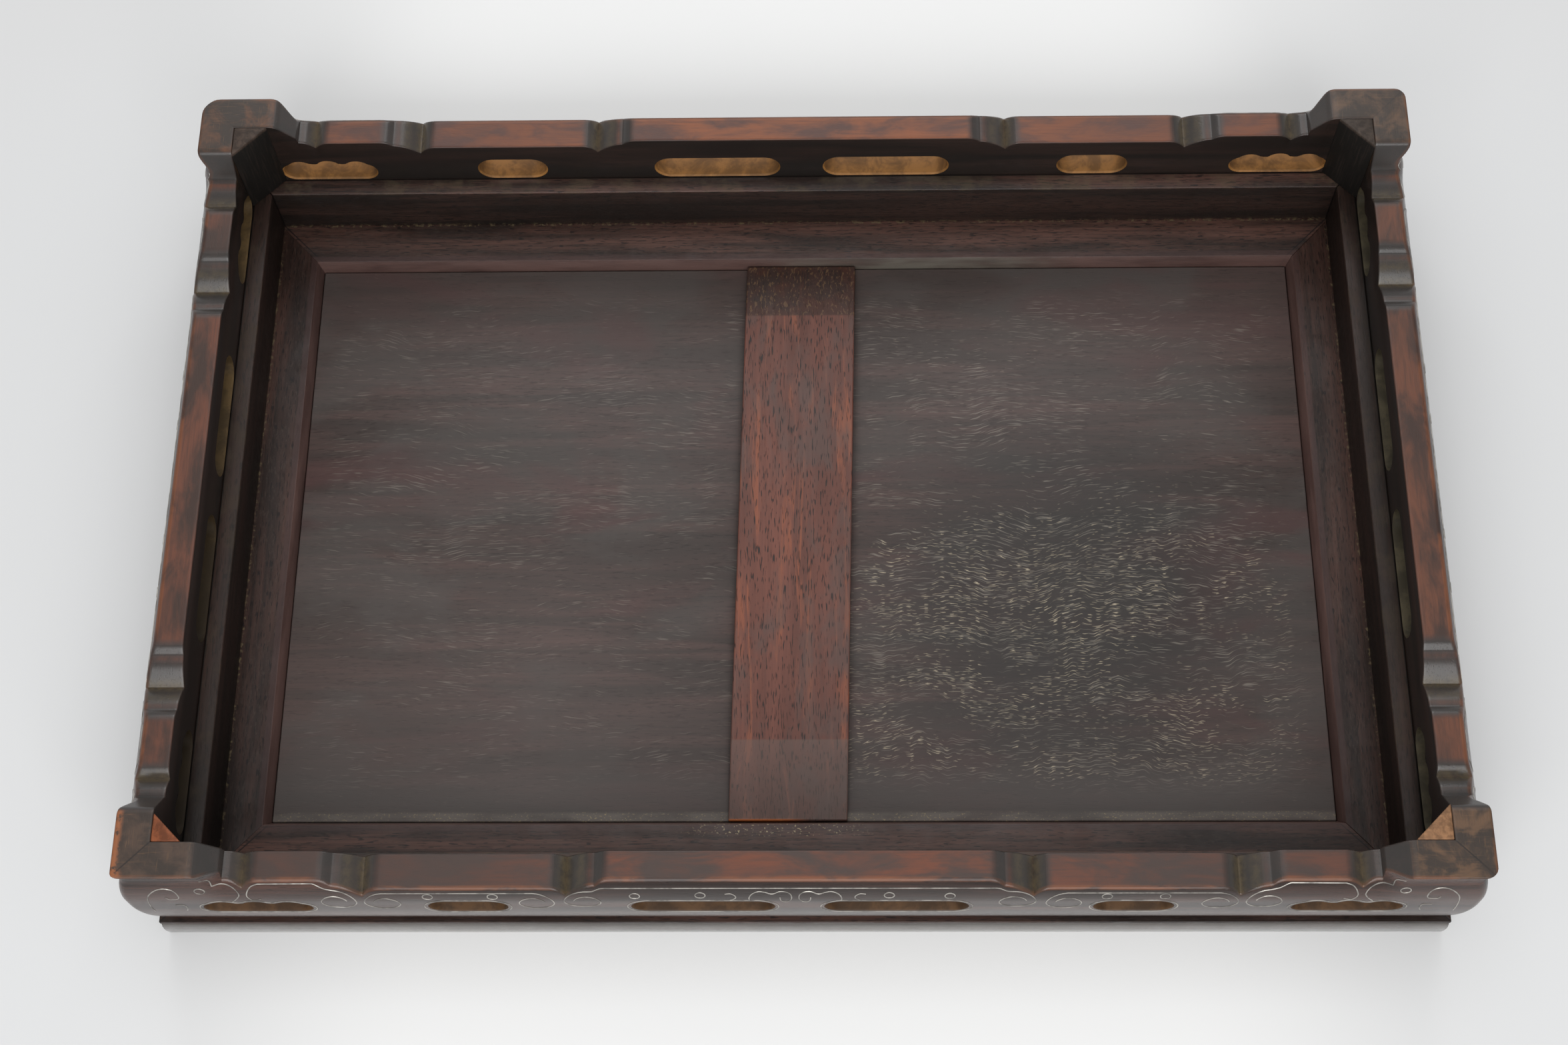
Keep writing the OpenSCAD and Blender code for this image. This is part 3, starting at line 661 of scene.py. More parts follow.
def brace_wood(colours):
    """Red-brown brace with open dark pores and orange streaks, with painted shade on its back sloping end and
    a painted sheen on its front one.
    """
    nodes = Nodes("brace_wood", gloss=0.36)
    red = Vector(colours.brace)
    height = nodes.wood("Y", red * 0.72, red * 1.15, 0.8)
    streak = nodes.noise(nodes.grain("Y", 60, 4), 4, 0.65, 0.8)
    nodes.lay(nodes.step(streak, 0.53, 0.66, 0.0, 0.75), (0.2, 0.057, 0.025))
    dull = nodes.noise(nodes.stretch(14, 34, 30), 4, 0.65, 0.4)
    nodes.lay(nodes.step(dull, 0.46, 0.66, 0.0, 0.7), (0.066, 0.041, 0.035))
    open_pores = nodes.step(nodes.noise(nodes.grain("Y", 3.4, 0.4), 0, 0.5), 0.68, 0.74, 0.0, 0.7)
    nodes.lay(open_pores, (0.01, 0.007, 0.006))
    # Painted shade darkens the back sloping end, under its gold squiggles
    back = nodes.step(nodes.y, BRACE_BACK - 0.4, BRACE_BACK + 0.4)
    front = nodes.step(nodes.y, BRACE_FRONT + 0.4, BRACE_FRONT - 0.4)
    glow = nodes.step(nodes.noise(nodes.stretch(13, 9, 9), 2, 0.5), 0.42, 0.62)
    back_shade_tone = nodes.mix(glow, (0.016, 0.009, 0.007), (0.034, 0.011, 0.006))
    nodes.lay(nodes.times(back, 0.85), back_shade_tone)
    squiggle = nodes.step(nodes.noise(nodes.stretch(0.7, 1.8, 2), 1, 0.5, 0.8), 0.58, 0.66)
    nodes.lay(nodes.times(squiggle, back, 0.5), (0.13, 0.075, 0.035))
    # Painted sheen: the front sloping end is greyed
    nodes.lay(nodes.times(front, 0.5), (0.1, 0.072, 0.062))
    tip = nodes.step(nodes.y, 2.6 - OPENING_Y, 2.0 - OPENING_Y)
    nodes.lay(nodes.times(tip, nodes.step(nodes.x, 4, -8)), (0.4, 0.12, 0.035))
    nodes.bump(height, 0.35, 0.15)
    return nodes.finish(nodes.step(streak, 0.35, 0.7, 0.52, 0.42))


def apron_wood(colours, name):
    """Polished apron: painted shade on the inner face, worn flats, grey rolls, dusty cusps, brown foot ends
    and rubbed arrises.
    """
    nodes = Nodes("apron_wood_" + name, gloss=0.38)
    along = ALONG[name]
    height = nodes.wood(along, colours.dark, colours.warm)
    from_inner = nodes.outside(INNER_X, INNER_Y)
    # Painted shade: the inner face is darkened
    nodes.lay(nodes.step(from_inner, 0.3, 0.05, 0.0, 0.75), (0.01, 0.009, 0.008))
    blotch = nodes.noise(nodes.grain(along, 24, 8), 4, 0.62, 0.5)
    nodes.lay(nodes.attribute("wear"), flat_tone(nodes, name, blotch))
    nodes.lay(nodes.times(nodes.attribute("roll"), 0.85), colours.roll)
    grit = nodes.noise(nodes.stretch(2.4, 2.4, 2.4), 4, 0.7)
    dust = nodes.times(nodes.attribute("dust"), nodes.step(grit, 0.34, 0.6, 0.3, 1.0))
    nodes.lay(nodes.times(dust, 0.6), colours.dust)
    foot = nodes.attribute("foot")
    nodes.lay(foot, foot_tone(nodes))
    chip = nodes.step(nodes.away(CHIP), 4, 1.5)
    if name == "left":
        edge = nodes.step(nodes.x, 4.4 - HALF_X, 2.6 - HALF_X)
        chip = nodes.math("MAXIMUM", chip, nodes.times(edge, nodes.step(nodes.y, -100, -112)))
    chip = nodes.times(chip, nodes.step(grit, 0.35, 0.5), 0.85)
    nodes.lay(nodes.times(chip, foot), colours.worn)
    rub = nodes.times(nodes.attribute("rim"), nodes.step(blotch, 0.36, 0.56))
    nodes.lay(nodes.times(rub, nodes.step(from_inner, 2, 4)), Vector(colours.worn) * 0.8)
    nodes.bump(height, 0.2, 0.1)
    worn = nodes.step(nodes.math("ADD", nodes.attribute("wear"), foot), 0.0, 0.5)
    satin = nodes.step(blotch, 0.3, 0.7, 0.36, 0.46)
    return nodes.finish(nodes.step(worn, 0, 1, 0.24, satin))


def flat_tone(nodes, name, blotch):
    """Colour of the worn flats on one side, duller towards the ends of a long one."""
    along = ALONG[name]
    dull, bright = FLAT_TONES[name]
    flat = nodes.mix(nodes.step(blotch, 0.36, 0.64), dull, bright)
    fibre = nodes.noise(nodes.grain(along, 16, 0.7), 2, 0.6)
    flat = nodes.mix(nodes.step(fibre, 0.45, 0.75, 0.0, 0.5), flat, dull)
    if along == "X":
        flat = nodes.mix(nodes.step(nodes.absolute(nodes.x), 50, 110, 0.0, 0.45), flat, dull)
    if name == "front":
        flat = nodes.mix(nodes.step(nodes.x, -40, -110, 0.0, 0.6), flat, dull)
    return flat


def foot_tone(nodes):
    """Colour of the foot ends: mottled, scratched both ways and split by the mitre."""
    mottle = nodes.noise(nodes.stretch(8, 8, 8), 4, 0.65, 0.5)
    foot = nodes.mix(nodes.step(mottle, 0.4, 0.66), FOOT_DARK, nodes.by_corner(FOOT_TONES))
    for length, width in ((7, 0.3), (0.35, 6)):
        scratch = nodes.step(nodes.noise(nodes.stretch(length, width, 9), 1, 0.5, 0.3), 0.66, 0.74)
        foot = nodes.mix(nodes.times(scratch, 0.2), foot, (0.2, 0.105, 0.045))
    seam = nodes.step(nodes.absolute(nodes.mitre(HALF_X, HALF_Y)), 0.45, 0.15)
    seam = nodes.times(seam, nodes.step(nodes.y, 20, -20, 0.3, 0.85))
    return nodes.mix(seam, foot, (0.012, 0.009, 0.008))


def slot_wood(name):
    """Bare wood inside one side's piercings, browner in patches."""
    nodes = Nodes("slot_wood_" + name, gloss=0.25)
    patches = nodes.noise(nodes.stretch(9, 9, 9), 4, 0.65, 0.5)
    raw = Vector(SLOT_TONES[name])
    nodes.colour = nodes.mix(nodes.step(patches, 0.38, 0.62), raw * 0.5, raw)
    grit = nodes.noise(nodes.stretch(2, 2, 2), 3, 0.65)
    nodes.lay(nodes.step(grit, 0.5, 0.72, 0.0, 0.5), raw * 0.4)
    if name == "left":
        nodes.lay(nodes.step(nodes.y, 70, -50, 0.0, 0.95), raw * 0.15)
    nodes.bump(grit, 0.3, 0.2)
    return nodes.finish(0.6)


def block_wood(name):
    """End grain of a corner block, with dark streaked sides."""
    nodes = Nodes("block_wood_" + name, gloss=0.2)
    patches = nodes.noise(nodes.stretch(2.6, 2.6, 6), 4, 0.65, 0.4)
    light = Vector(BLOCK_TONES[name])
    nodes.colour = nodes.mix(nodes.step(patches, 0.35, 0.68), light * 0.6, light * 1.2)
    streaks = nodes.step(nodes.noise(nodes.stretch(0.7, 0.7, 12), 2, 0.6), 0.5, 0.7, 0.0, 0.5)
    below = nodes.step(nodes.z, FOOT_Z - 0.6, FOOT_Z - 1.6)
    nodes.lay(below, nodes.mix(streaks, (0.008, 0.007, 0.006), (0.024, 0.017, 0.014)))
    nodes.bump(patches, 0.4, 0.2)
    return nodes.finish(0.55)


def silver_metal(colours):
    """Tarnished silver wire."""
    nodes = Nodes("silver_wire")
    nodes.shader.inputs["Metallic"].default_value = 0.7
    tarnish = nodes.noise(nodes.stretch(5, 5, 5), 3, 0.6)
    silver = Vector(colours.silver)
    nodes.colour = nodes.mix(nodes.step(tarnish, 0.38, 0.66), silver, silver * 0.4)
    return nodes.finish(nodes.step(tarnish, 0.3, 0.7, 0.38, 0.55))


# Light of the room at the floor's level and overhead, and the rise of the direction in between
ROOM_LOW = 0.72
ROOM_HIGH = 0.45
ROOM_RISE = (0.03, 0.3)
# Half size of the floor in metres
FLOOR_HALF = 4
# Distances from the stand's middle where the floor begins to fade and is gone, and their share along Y
FLOOR_FADE = (360, 700)
FADE_DEPTH = 0.5


def floor_paper():
    """Pale floor with painted shade that makes it a little greyer to both sides, and that fades into the room
    far from the stand.
    """
    nodes = Nodes("floor_paper", gloss=0.0)
    cloud = nodes.noise(nodes.stretch(260, 260, 260), 2, 0.5)
    nodes.colour = nodes.mix(cloud, (0.78, 0.785, 0.785), (0.81, 0.81, 0.805))
    # Painted shade: greyer to both sides
    nodes.lay(nodes.step(nodes.absolute(nodes.x), 110, 250), (0.595, 0.6, 0.605))
    far = nodes.step(nodes.away((0, 0, 0), nodes.stretch(1, FADE_DEPTH, 1)), *FLOOR_FADE)
    nodes.lay(far, (0, 0, 0))
    nodes.set(nodes.shader.inputs["Emission Color"], (ROOM_LOW, ROOM_LOW, ROOM_LOW))
    nodes.set(nodes.shader.inputs["Emission Strength"], far)
    return nodes.finish(0.7)


def soft_room():
    """World that is palest at the horizon, where the floor fades into it."""
    world = bpy.data.worlds.new("soft_room")
    world.use_nodes = True
    tree = world.node_tree
    way = tree.nodes.new("ShaderNodeTexCoord").outputs["Generated"]
    split = tree.nodes.new("ShaderNodeSeparateXYZ")
    tree.links.new(way, split.inputs[0])
    rise = tree.nodes.new("ShaderNodeMapRange")
    rise.interpolation_type = "SMOOTHSTEP"
    tree.links.new(split.outputs["Z"], rise.inputs["Value"])
    rise.inputs["From Min"].default_value = ROOM_RISE[0]
    rise.inputs["From Max"].default_value = ROOM_RISE[1]
    rise.inputs["To Min"].default_value = ROOM_LOW
    rise.inputs["To Max"].default_value = ROOM_HIGH
    sky = tree.nodes["Background"]
    sky.inputs["Color"].default_value = (1, 1, 1, 1)
    tree.links.new(rise.outputs["Result"], sky.inputs["Strength"])
    return world


def add_piece(name, mesh, materials, slot, *nodes, sharp=40):
    """Links a finished mesh as a piece that stands for CAD nodes."""
    for material in materials:
        mesh.materials.append(material)
    mesh.shade_smooth()
    mesh.set_sharp_from_angle(angle=math.radians(sharp))
    piece = bpy.data.objects.new(name, mesh)
    bpy.context.scene.collection.objects.link(piece)
    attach(piece, "root")
    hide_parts(*nodes)


def to_mesh(bm, name):
    """Mesh of a bmesh, which is freed."""
    mesh = bpy.data.meshes.new(name)
    bm.to_mesh(mesh)
    bm.free()
    return mesh


# The front left block is cut smaller: the length of its sides, and the place and direction of the cut
SMALL_BLOCK = 8.6
BLOCK_CUT = {"front_left": ((SMALL_BLOCK - INNER_X, -INNER_Y, FOOT_Z), (1, 1, 0))}
# Angles in degrees below which faces are joined to one, and above which an edge is an arris
FLAT_ANGLE = 0.3
ARRIS_ANGLE = 24


def softened(node, width, plane=None):
    """Copy of a CAD node's mesh with bevelled arrises, cut back to a plane if one is given."""
    bm = bmesh.new()
    bm.from_mesh(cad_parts[node].data)
    bmesh.ops.remove_doubles(bm, verts=bm.verts, dist=1e-6)
    bmesh.ops.dissolve_limit(bm, angle_limit=math.radians(FLAT_ANGLE), verts=bm.verts, edges=bm.edges)
    if plane:
        place, away = plane
        bmesh.ops.bisect_plane(
            bm, geom=[*bm.verts, *bm.edges, *bm.faces], plane_co=Vector(place) * MM, plane_no=away,
            clear_outer=True)
        bmesh.ops.holes_fill(bm, edges=[e for e in bm.edges if e.is_boundary], sides=0)
        bmesh.ops.recalc_face_normals(bm, faces=bm.faces)
    arrises = [e for e in bm.edges if e.is_manifold and e.calc_face_angle() > math.radians(ARRIS_ANGLE)]
    bmesh.ops.bevel(
        bm, geom=arrises, offset=width, offset_type="OFFSET", affect="EDGES", segments=2, profile=0.5,
        clamp_overlap=True, material=-1)
    return to_mesh(bm, node)


# Number of steps round an apron's cross-section
INNER_STEPS = 4
RIM_STEPS = 3
FLAT_STEPS = 5
ROUND_STEPS = 4
FACE_STEPS = 22
LOW_STEPS = 4
QUARTER = math.radians(90)
# Share of rubbed wood along the two arrises of the scalloped edge
ARRIS_RUB = 0.7


def cross_section(sizes, side, x):
    """Points (thickness, height, shares of top and rim) up an apron's inner face and down its outer one."""
    top = side.height(x)
    rim = sizes.inner_round / MM
    radius = sizes.edge_round / MM
    low_radius = sizes.lower_round / MM
    points = [(0, blend(APRON_Z, top - rim, i / INNER_STEPS), 0, 0) for i in range(INNER_STEPS + 1)]
    for i in range(1, RIM_STEPS + 1):
        angle = QUARTER * i / RIM_STEPS
        z = top - rim * (1 - math.sin(angle))
        points.append((rim * (1 - math.cos(angle)), z, i / RIM_STEPS, ARRIS_RUB))
    edge = surface(sizes, side, x, top, top)
    for i in range(1, FLAT_STEPS + 1):
        near = (rim, rim + 0.4, edge / 2, edge - 0.5, edge)[i - 1]
        points.append((near, top, 1, ARRIS_RUB if i in (1, FLAT_STEPS) else 0))
    for i in range(1, ROUND_STEPS + 1):
        z = top - radius * (1 - math.cos(QUARTER * i / ROUND_STEPS))
        rub = math.sin(math.pi * i / ROUND_STEPS)
        points.append((surface(sizes, side, x, z, top), z, 1 - i / ROUND_STEPS, rub))
    for i in range(1, FACE_STEPS + 1):
        z = blend(top - radius, APRON_Z + low_radius, i / FACE_STEPS)
        points.append((outer_face(side, x, z), z, 0, 0))
    for i in range(1, LOW_STEPS + 1):
        z = APRON_Z + low_radius * (1 - math.sin(QUARTER * i / LOW_STEPS))
        points.append((surface(sizes, side, x, z, top), z, 0, 0))
    points.append((0, APRON_Z, 0, 0))
    return points


def stations(side):
    """Places along an apron, close together where the edge bends and at the ends."""
    fine, coarse, end_zone = 0.4, 2.4, 14
    count = round(2 * side.half / fine)
    places = [blend(-side.half, side.half, i / count) for i in range(count + 1)]
    kept = [places[0]]
    for before, x, after in zip(places, places[1:], places[2:]):
        level = abs(side.height(before) - side.height(x)) + abs(side.height(after) - side.height(x)) < 1e-6
        if not level or abs(x) > side.half - end_zone or x - kept[-1] > coarse:
            kept.append(x)
    return kept + [places[-1]]


def rounded_plan(side, x, depth, z):
    """A point near an apron's end, moved inside the rounded corner of the foot."""
    rise = smooth(z, EDGE_Z - LOW_CORNER_DROP, FOOT_Z)
    radius = blend(LOW_CORNER_ROUND, CORNER_ROUND[side.corner(x)], rise)
    face = outer_face(side, math.copysign(side.half, x), z)
    over = radius - (side.inner_end + face - abs(x))
    out = radius - (face - depth)
    reach = math.hypot(over, out)
    if over > 0 and out > 0 and reach > radius:
        over, out = over * radius / reach, out * radius / reach
        x = math.copysign(side.inner_end + face - radius + over, x)
        depth = face - radius + out
    return x, depth


# How far the rubbed arrises show on each side, and on the feet
RUBBED = {"front": 0.6, "back": 0.25, "left": 0.5, "right": 0.5}
FOOT_RUBBED = 0.45
# Marks that an apron's mesh carries for its material
MARKS = ("wear", "roll", "dust", "foot", "rim")
# Lengths over which the edge's slope and its next bend are felt, and half width of a cusp's dust
SLOPE_FEEL = 0.8
BEND_FEEL = 2.5
DUST_WIDTH = 1.7


def edge_marks(side, x, top, rim):
    """Shares of worn red wood, grey rolls, dust, foot wood and rubbed arrises at a point of the edge."""
    height = side.height(x)
    steep = abs(side.height(x + SLOPE_FEEL) - side.height(x - SLOPE_FEEL)) / (2 * SLOPE_FEEL)
    near = max(abs(side.height(x + s) - height) for s in (-BEND_FEEL, BEND_FEEL))
    foot = smooth(height, FOOT_Z - 0.6, FOOT_Z - 0.1)
    dust = max(share * math.exp(-(((abs(x) - cusp) / DUST_WIDTH) ** 2)) for cusp, share in side.cusps())
    rolled = max(smooth(steep, 0.1, 0.45), 0.8 * smooth(near, 0.3, 1.8)) * (1 - foot)
    return {
        "wear": top * (1 - foot) * (1 - rolled),
        "roll": top * rolled,
        "dust": top * dust * (1 - foot),
        "foot": top * foot,
        "rim": rim * blend(RUBBED[side.name], FOOT_RUBBED, foot) * (1 - 0.6 * rolled),
    }


# How far inside the aprons' inner corner the cross-sections begin to turn into the mitre
MITRE_START = 2


def apron_mesh(sizes, side):
    """An apron lofted along its scalloped edge and mitred at the ends, with marks for its wear."""
    places = stations(side)
    sections = [cross_section(sizes, side, x) for x in places]
    columns, rows = len(places) - 1, len(sections[0]) - 1
    bm = bmesh.new()
    bmesh.ops.create_grid(bm, x_segments=columns, y_segments=rows, size=1)
    layers = {name: bm.verts.layers.float.new(name) for name in MARKS}
    turn_start = side.inner_end - MITRE_START
    for vert in bm.verts:
        column = round((vert.co.x + 1) / 2 * columns)
        row = round((vert.co.y + 1) / 2 * rows)
        place = places[column]
        depth, z, top, rim = sections[column][row]
        x = place
        if abs(place) > turn_start:
            share = (abs(place) - turn_start) / (side.half - turn_start)
            x = math.copysign(blend(turn_start, side.inner_end + depth, share), place)
        if top or rim:
            for name, share in edge_marks(side, place, top, rim).items():
                vert[layers[name]] = share
        x, depth = rounded_plan(side, x, depth, z)
        vert.co = Vector((x, -side.inner - depth, z)) * MM
    bmesh.ops.remove_doubles(bm, verts=bm.verts, dist=2e-6)
    bmesh.ops.holes_fill(bm, edges=[e for e in bm.edges if e.is_boundary], sides=0)
    bmesh.ops.recalc_face_normals(bm, faces=bm.faces)
    return to_mesh(bm, "apron_" + side.name)


def slot_outline(length, kind, grow):
    """Points round a piercing grown by a margin, from its left end along the top and back underneath."""
    radius = SLOT_HEIGHT / 2 if kind == "round" else CUSPED_ROUND
    steps = 56
    half = length / 2
    tops, bottoms = [], []
    for i in range(steps + 1):
        x = -math.cos(math.pi * i / steps) * (half + grow)
        away = min(radius + grow, max(0, abs(x) - half + radius))
        arc = math.sqrt(max(0, (radius + grow) ** 2 - away**2))
        top, bottom = SLOT_Z + radius + arc, SLOT_Z + radius - arc
        if kind == "cusped":
            for lobe in (-1, 0, 1):
                off = x - lobe * (half - radius * 1.5)
                if abs(off) < radius + grow:
                    crown = SLOT_Z + SLOT_HEIGHT - radius - abs(lobe) * CUSPED_STEP
                    top = max(top, crown + math.sqrt((radius + grow) ** 2 - off**2))
        tops.append((x, top))
        bottoms.append((x, bottom))
    return tops + bottoms[-2:0:-1]


def slot_cutter(sizes, side):
    """Prisms with flared mouths that cut the piercings of one apron."""
    flare = sizes.slot_flare / MM
    # Depth of each ring, and how much its outline is grown
    rings = ((-1, flare + 1), (flare, 0), (THICK - 1.4 * flare, 0), (THICK + 1, flare + 0.7))
    bm = bmesh.new()
    for middle, length, kind in side.slots():
        for mirror in (-1, 1):
            loops = []
            for depth, grow in rings:
                outline = slot_outline(length, kind, grow)
                loop = bmesh.ops.create_circle(bm, cap_ends=False, radius=1, segments=len(outline))["verts"]
                for vert, (x, z) in zip(loop, outline):
                    vert.co = Vector((mirror * (middle + x), -side.inner - depth, z)) * MM
                loops.append(loop)
            edges = [e for loop in loops for e in {e for v in loop for e in v.link_edges}]
            bmesh.ops.bridge_loops(bm, edges=edges)
            for loop in (loops[0], loops[-1]):
                bmesh.ops.contextual_create(bm, geom=loop)
    bmesh.ops.recalc_face_normals(bm, faces=bm.faces)
    return to_mesh(bm, "slot_cutter")


def pierced(mesh, cutter_mesh):
    """The mesh after the cutter is taken out of it."""
    body = bpy.data.objects.new("body", mesh)
    cutter = bpy.data.objects.new("cutter", cutter_mesh)
    for item in (body, cutter):
        bpy.context.scene.collection.objects.link(item)
    cut = body.modifiers.new("piercings", "BOOLEAN")
    cut.operation = "DIFFERENCE"
    cut.solver = "EXACT"
    cut.object = cutter
    done = bpy.data.meshes.new_from_object(body.evaluated_get(bpy.context.evaluated_depsgraph_get()))
    for item in (body, cutter):
        bpy.data.objects.remove(item)
    return done


# How far round a piercing its faces reach
SLOT_REACH = 1.2


def mark_slot_faces(mesh, side):
    """Gives the faces inside the piercings the second material."""
    for face in mesh.polygons:
        x, depth, z = face.center.x / MM, -face.center.y / MM - side.inner, face.center.z / MM
        level = SLOT_Z - SLOT_REACH < z < SLOT_Z + SLOT_HEIGHT + SLOT_REACH
        crosswise = abs(face.normal.y) < 0.8 and depth > 0.05
        beside = any(abs(abs(x) - middle) < length / 2 + SLOT_REACH for middle, length, _ in side.slots())
        if level and crosswise and beside:
            face.material_index = 1


# How far the wire stands proud of the face
WIRE_PROUD = 0.15
# Distance of a wire from the piercing that it frames
WIRE_MARGIN = 1.5
# How much nearer the middle the small scrolls above the long piercings lie on the right half
NEARER = 2.4
# How much nearer the end the wires of a foot's small lobe lie on a short side
SHORT_FOOT_SHIFT = 3


class Wires:
    """Silver wires on one side's outer face, each an open or closed curve."""

    def __init__(self, sizes, side):
        self.sizes = sizes
        self.side = side
        self.curve = bpy.data.curves.new("silver_wire_" + side.name, "CURVE")
        self.curve.dimensions = "3D"
        self.curve.bevel_depth = sizes.wire_radius
        self.curve.bevel_resolution = 1
        self.curve.use_fill_caps = True

    def line(self, points, closed=False):
        """One wire through points (x, z) on the face."""
        spline = self.curve.splines.new("POLY")
        spline.points.add(len(points) - 1)
        spline.use_cyclic_u = closed
        sink = self.sizes.wire_radius / MM - WIRE_PROUD
        for point, (x, z) in zip(spline.points, points):
            depth = surface(self.sizes, self.side, x, z, self.side.height(x)) - sink
            point.co = (*(Vector((x, -self.side.inner - depth, z)) * MM), 1)

    def both(self, points, closed=False):
        """A wire on the right half and its mirror image on the left."""
        self.line(points, closed)
        self.line([(-x, z) for x, z in points], closed)

    def uneven(self, points):
        """A wire on the left half and its mirror image on the right, a little nearer the middle."""
        self.line([(-x, z) for x, z in points])
        self.line([(x - NEARER, z) for x, z in points])

    def mesh(self):
        """All wires of the side as one mesh in their place."""
        holder = bpy.data.objects.new("wire", self.curve)
        bpy.context.scene.collection.objects.link(holder)
        mesh = bpy.data.meshes.new_from_object(holder.evaluated_get(bpy.context.evaluated_depsgraph_get()))
        bpy.data.objects.remove(holder)
        mesh.transform(self.side.matrix)
        return mesh


def through(points, steps=8):
    """A smooth curve through a few points."""
    points = [points[0], *points, points[-1]]
    curve = []
    for a, b, c, d in zip(points, points[1:], points[2:], points[3:]):
        for i in range(steps):
            curve.append(tuple(between(*values, i / steps) for values in zip(a, b, c, d)))
    return curve + [points[-1]]


def between(p, q, r, s, t):
    """Value a share t of the way from q to r, on a smooth curve through four values in a row."""
    bend = 2 * p - 5 * q + 4 * r - s
    twist = 3 * q - p - 3 * r + s
    return 0.5 * (2 * q + (r - p) * t + bend * t**2 + twist * t**3)


def scroll(x, z, wide, tall, way):
    """A spiral round a point, from its top to the right (way 1) or the left (way -1) and inwards."""
    turns, shrink, steps = 1.2, 0.5, 34
    curve = []
    for i in range(steps + 1):
        angle = 2 * math.pi * turns * i / steps
        size = blend(1, shrink, i / steps)
        curve.append((x + way * wide * size * math.sin(angle), z + tall * size * math.cos(angle)))
    return curve


def ring(x, z):
    """A small ring round a point."""
    radius, steps = 1.5, 18
    angles = [2 * math.pi * i / steps for i in range(steps)]
    return [(x + radius * math.cos(angle), z + radius * math.sin(angle)) for angle in angles]


def slot_lines(wires):
    """Wires that frame the piercings."""
    for middle, length, kind in wires.side.slots():
        outline = slot_outline(length, kind, WIRE_MARGIN)
        wires.both([(middle + x, z) for x, z in outline], closed=True)


def foot_wires(wires):
    """Wires of a foot: a broken scroll, a comma, a ring and the arch along the small lobe."""
    end = wires.side.half
    scroll_line = ((14, 49.6), (15, 48), (17.5, 48.6), (18, 51.2), (17.2, 54), (15.2, 55.2), (12.8, 54.8),
                   (10.5, 52.8), (8.8, 49.9), (7.9, 45.8), (7.2, 39.4), (7, 34.3))
    comma = ((15, 41.9), (17.5, 41.9), (17.8, 38.4), (17, 35.4))
    cusp = ((25.8, 58.5), (27.7, 58.4), (28.7, 57.6), (29, 55.6))
    arch = ((29, 55.6), (31.3, 55.7), (33.5, 54.9), (35.2, 53.3), (36, 50.7), (35.1, 48.5), (33.2, 45.9))
    nearer = 0 if wires.side.kind == "long" else SHORT_FOOT_SHIFT
    for line in (scroll_line, comma):
        wires.both(through([(end - x, z) for x, z in line]))
    for line in (cusp, arch):
        wires.both(through([(end + nearer - x, z) for x, z in line]))
    wires.both(ring(end + nearer - 25, 53.7), closed=True)


def end_lobe_wires(wires, reach):
    """Wire of an end lobe: a hook beside the foot, the flat, and a scroll of that reach at the other end."""
    end = wires.side.half
    stop = wires.side.lobe_stop
    top = EDGE_Z - 3.8
    tall = 7.4
    hook = ((42, 47.9), (39.5, 47.2), (38.2, 49.7), (38.8, 52.3), (40.2, 54.3), (42.3, EDGE_Z - 1.2))
    step = ((stop - 1, EDGE_Z - 1.1), (stop, EDGE_Z - 1.4), (stop + 2.5, EDGE_Z - 3), (stop + 5, top))
    line = through(hook) + through(step) + scroll(stop + 5, top - tall, reach, tall, 1)
    wires.both([(end - x, z) for x, z in line])


def middle_wires(wires):
    """Wire of the middle lobe, which steps down into a scroll at each end."""
    middle = wires.side.middle
    line_z = EDGE_Z - 3
    wires.line([(-middle, line_z), (middle, line_z)])
    drops = ((0, 0), (3, -0.1), (5.5, -1.3), (8, -1.5))
    step = through([(middle + x, line_z + z) for x, z in drops])
    wires.both(step + scroll(middle + 8, line_z - 8.1, 6.8, 6.6, 1))


def long_pattern(wires):
    """Wire pattern of a long side."""
    side = wires.side
    slot_lines(wires)
    foot_wires(wires)
    end_lobe_wires(wires, 6.6)
    middle_wires(wires)
    wide, tall = 6.6, 7.2
    middle_z = EDGE_Z - SIDE_LOBE_DROP - 2 - tall
    start = scroll(side.middle_cusp + 9.6, middle_z, wide, tall, -1)
    stop = scroll(side.cusp - 5.6, middle_z, wide, tall, 1)
    wires.both(start[::-1] + stop)
    # Rings left and right of the middle, and their heights
    for left, right, z in ((29.2, 26.4, 50), (48.5, 44.2, 49.6), (90.5, 90.2, 49.2), (109.7, 107.2, 49.2)):
        wires.line(ring(-left, z), closed=True)
        wires.line(ring(right, z), closed=True)
    wires.uneven(through([(21.9, 50.7), (20.2, 50.9), (18.9, 49.7), (18.9, 48.2), (20.4, 46.8)]))
    wires.uneven(through([
        (5.7, 48.9), (5.4, 46.4), (3.9, 45.4), (2.5, 47.3), (2.4, 50), (3.5, 51.6), (5.7, 52), (8, 50.8),
        (10, 51.6), (11.9, 52), (13.9, 50.8), (14.8, 48.6), (14.7, 46.4)]))


def short_pattern(wires):
    """Wire pattern of a short side."""
    slot_lines(wires)
    foot_wires(wires)
    end_lobe_wires(wires, 5.6)
    middle_wires(wires)
    for x in (20, 38):
        wires.both(ring(x, 50.6), closed=True)


class STAND_OT_rails(bpy.types.Operator):
    """Build the rails of the top frame and the waist strips on them"""

    bl_idname = "stand.rails"
    bl_label = "Rails and waist strips"

    def execute(self, context):
        stand = context.scene.desk_stand
        woods = {along: frame_wood(stand.colours, along) for along in "XY"}
        for side in SIDES:
            wood = woods[ALONG[side]]
            for piece, node in (("rail_", "top_rail_"), ("waist_strip_", "waist_")):
                mesh = softened(node + side, stand.sizes.arris)
                add_piece(piece + side, mesh, [wood], "frame_wood", node + side)
        return {"FINISHED"}


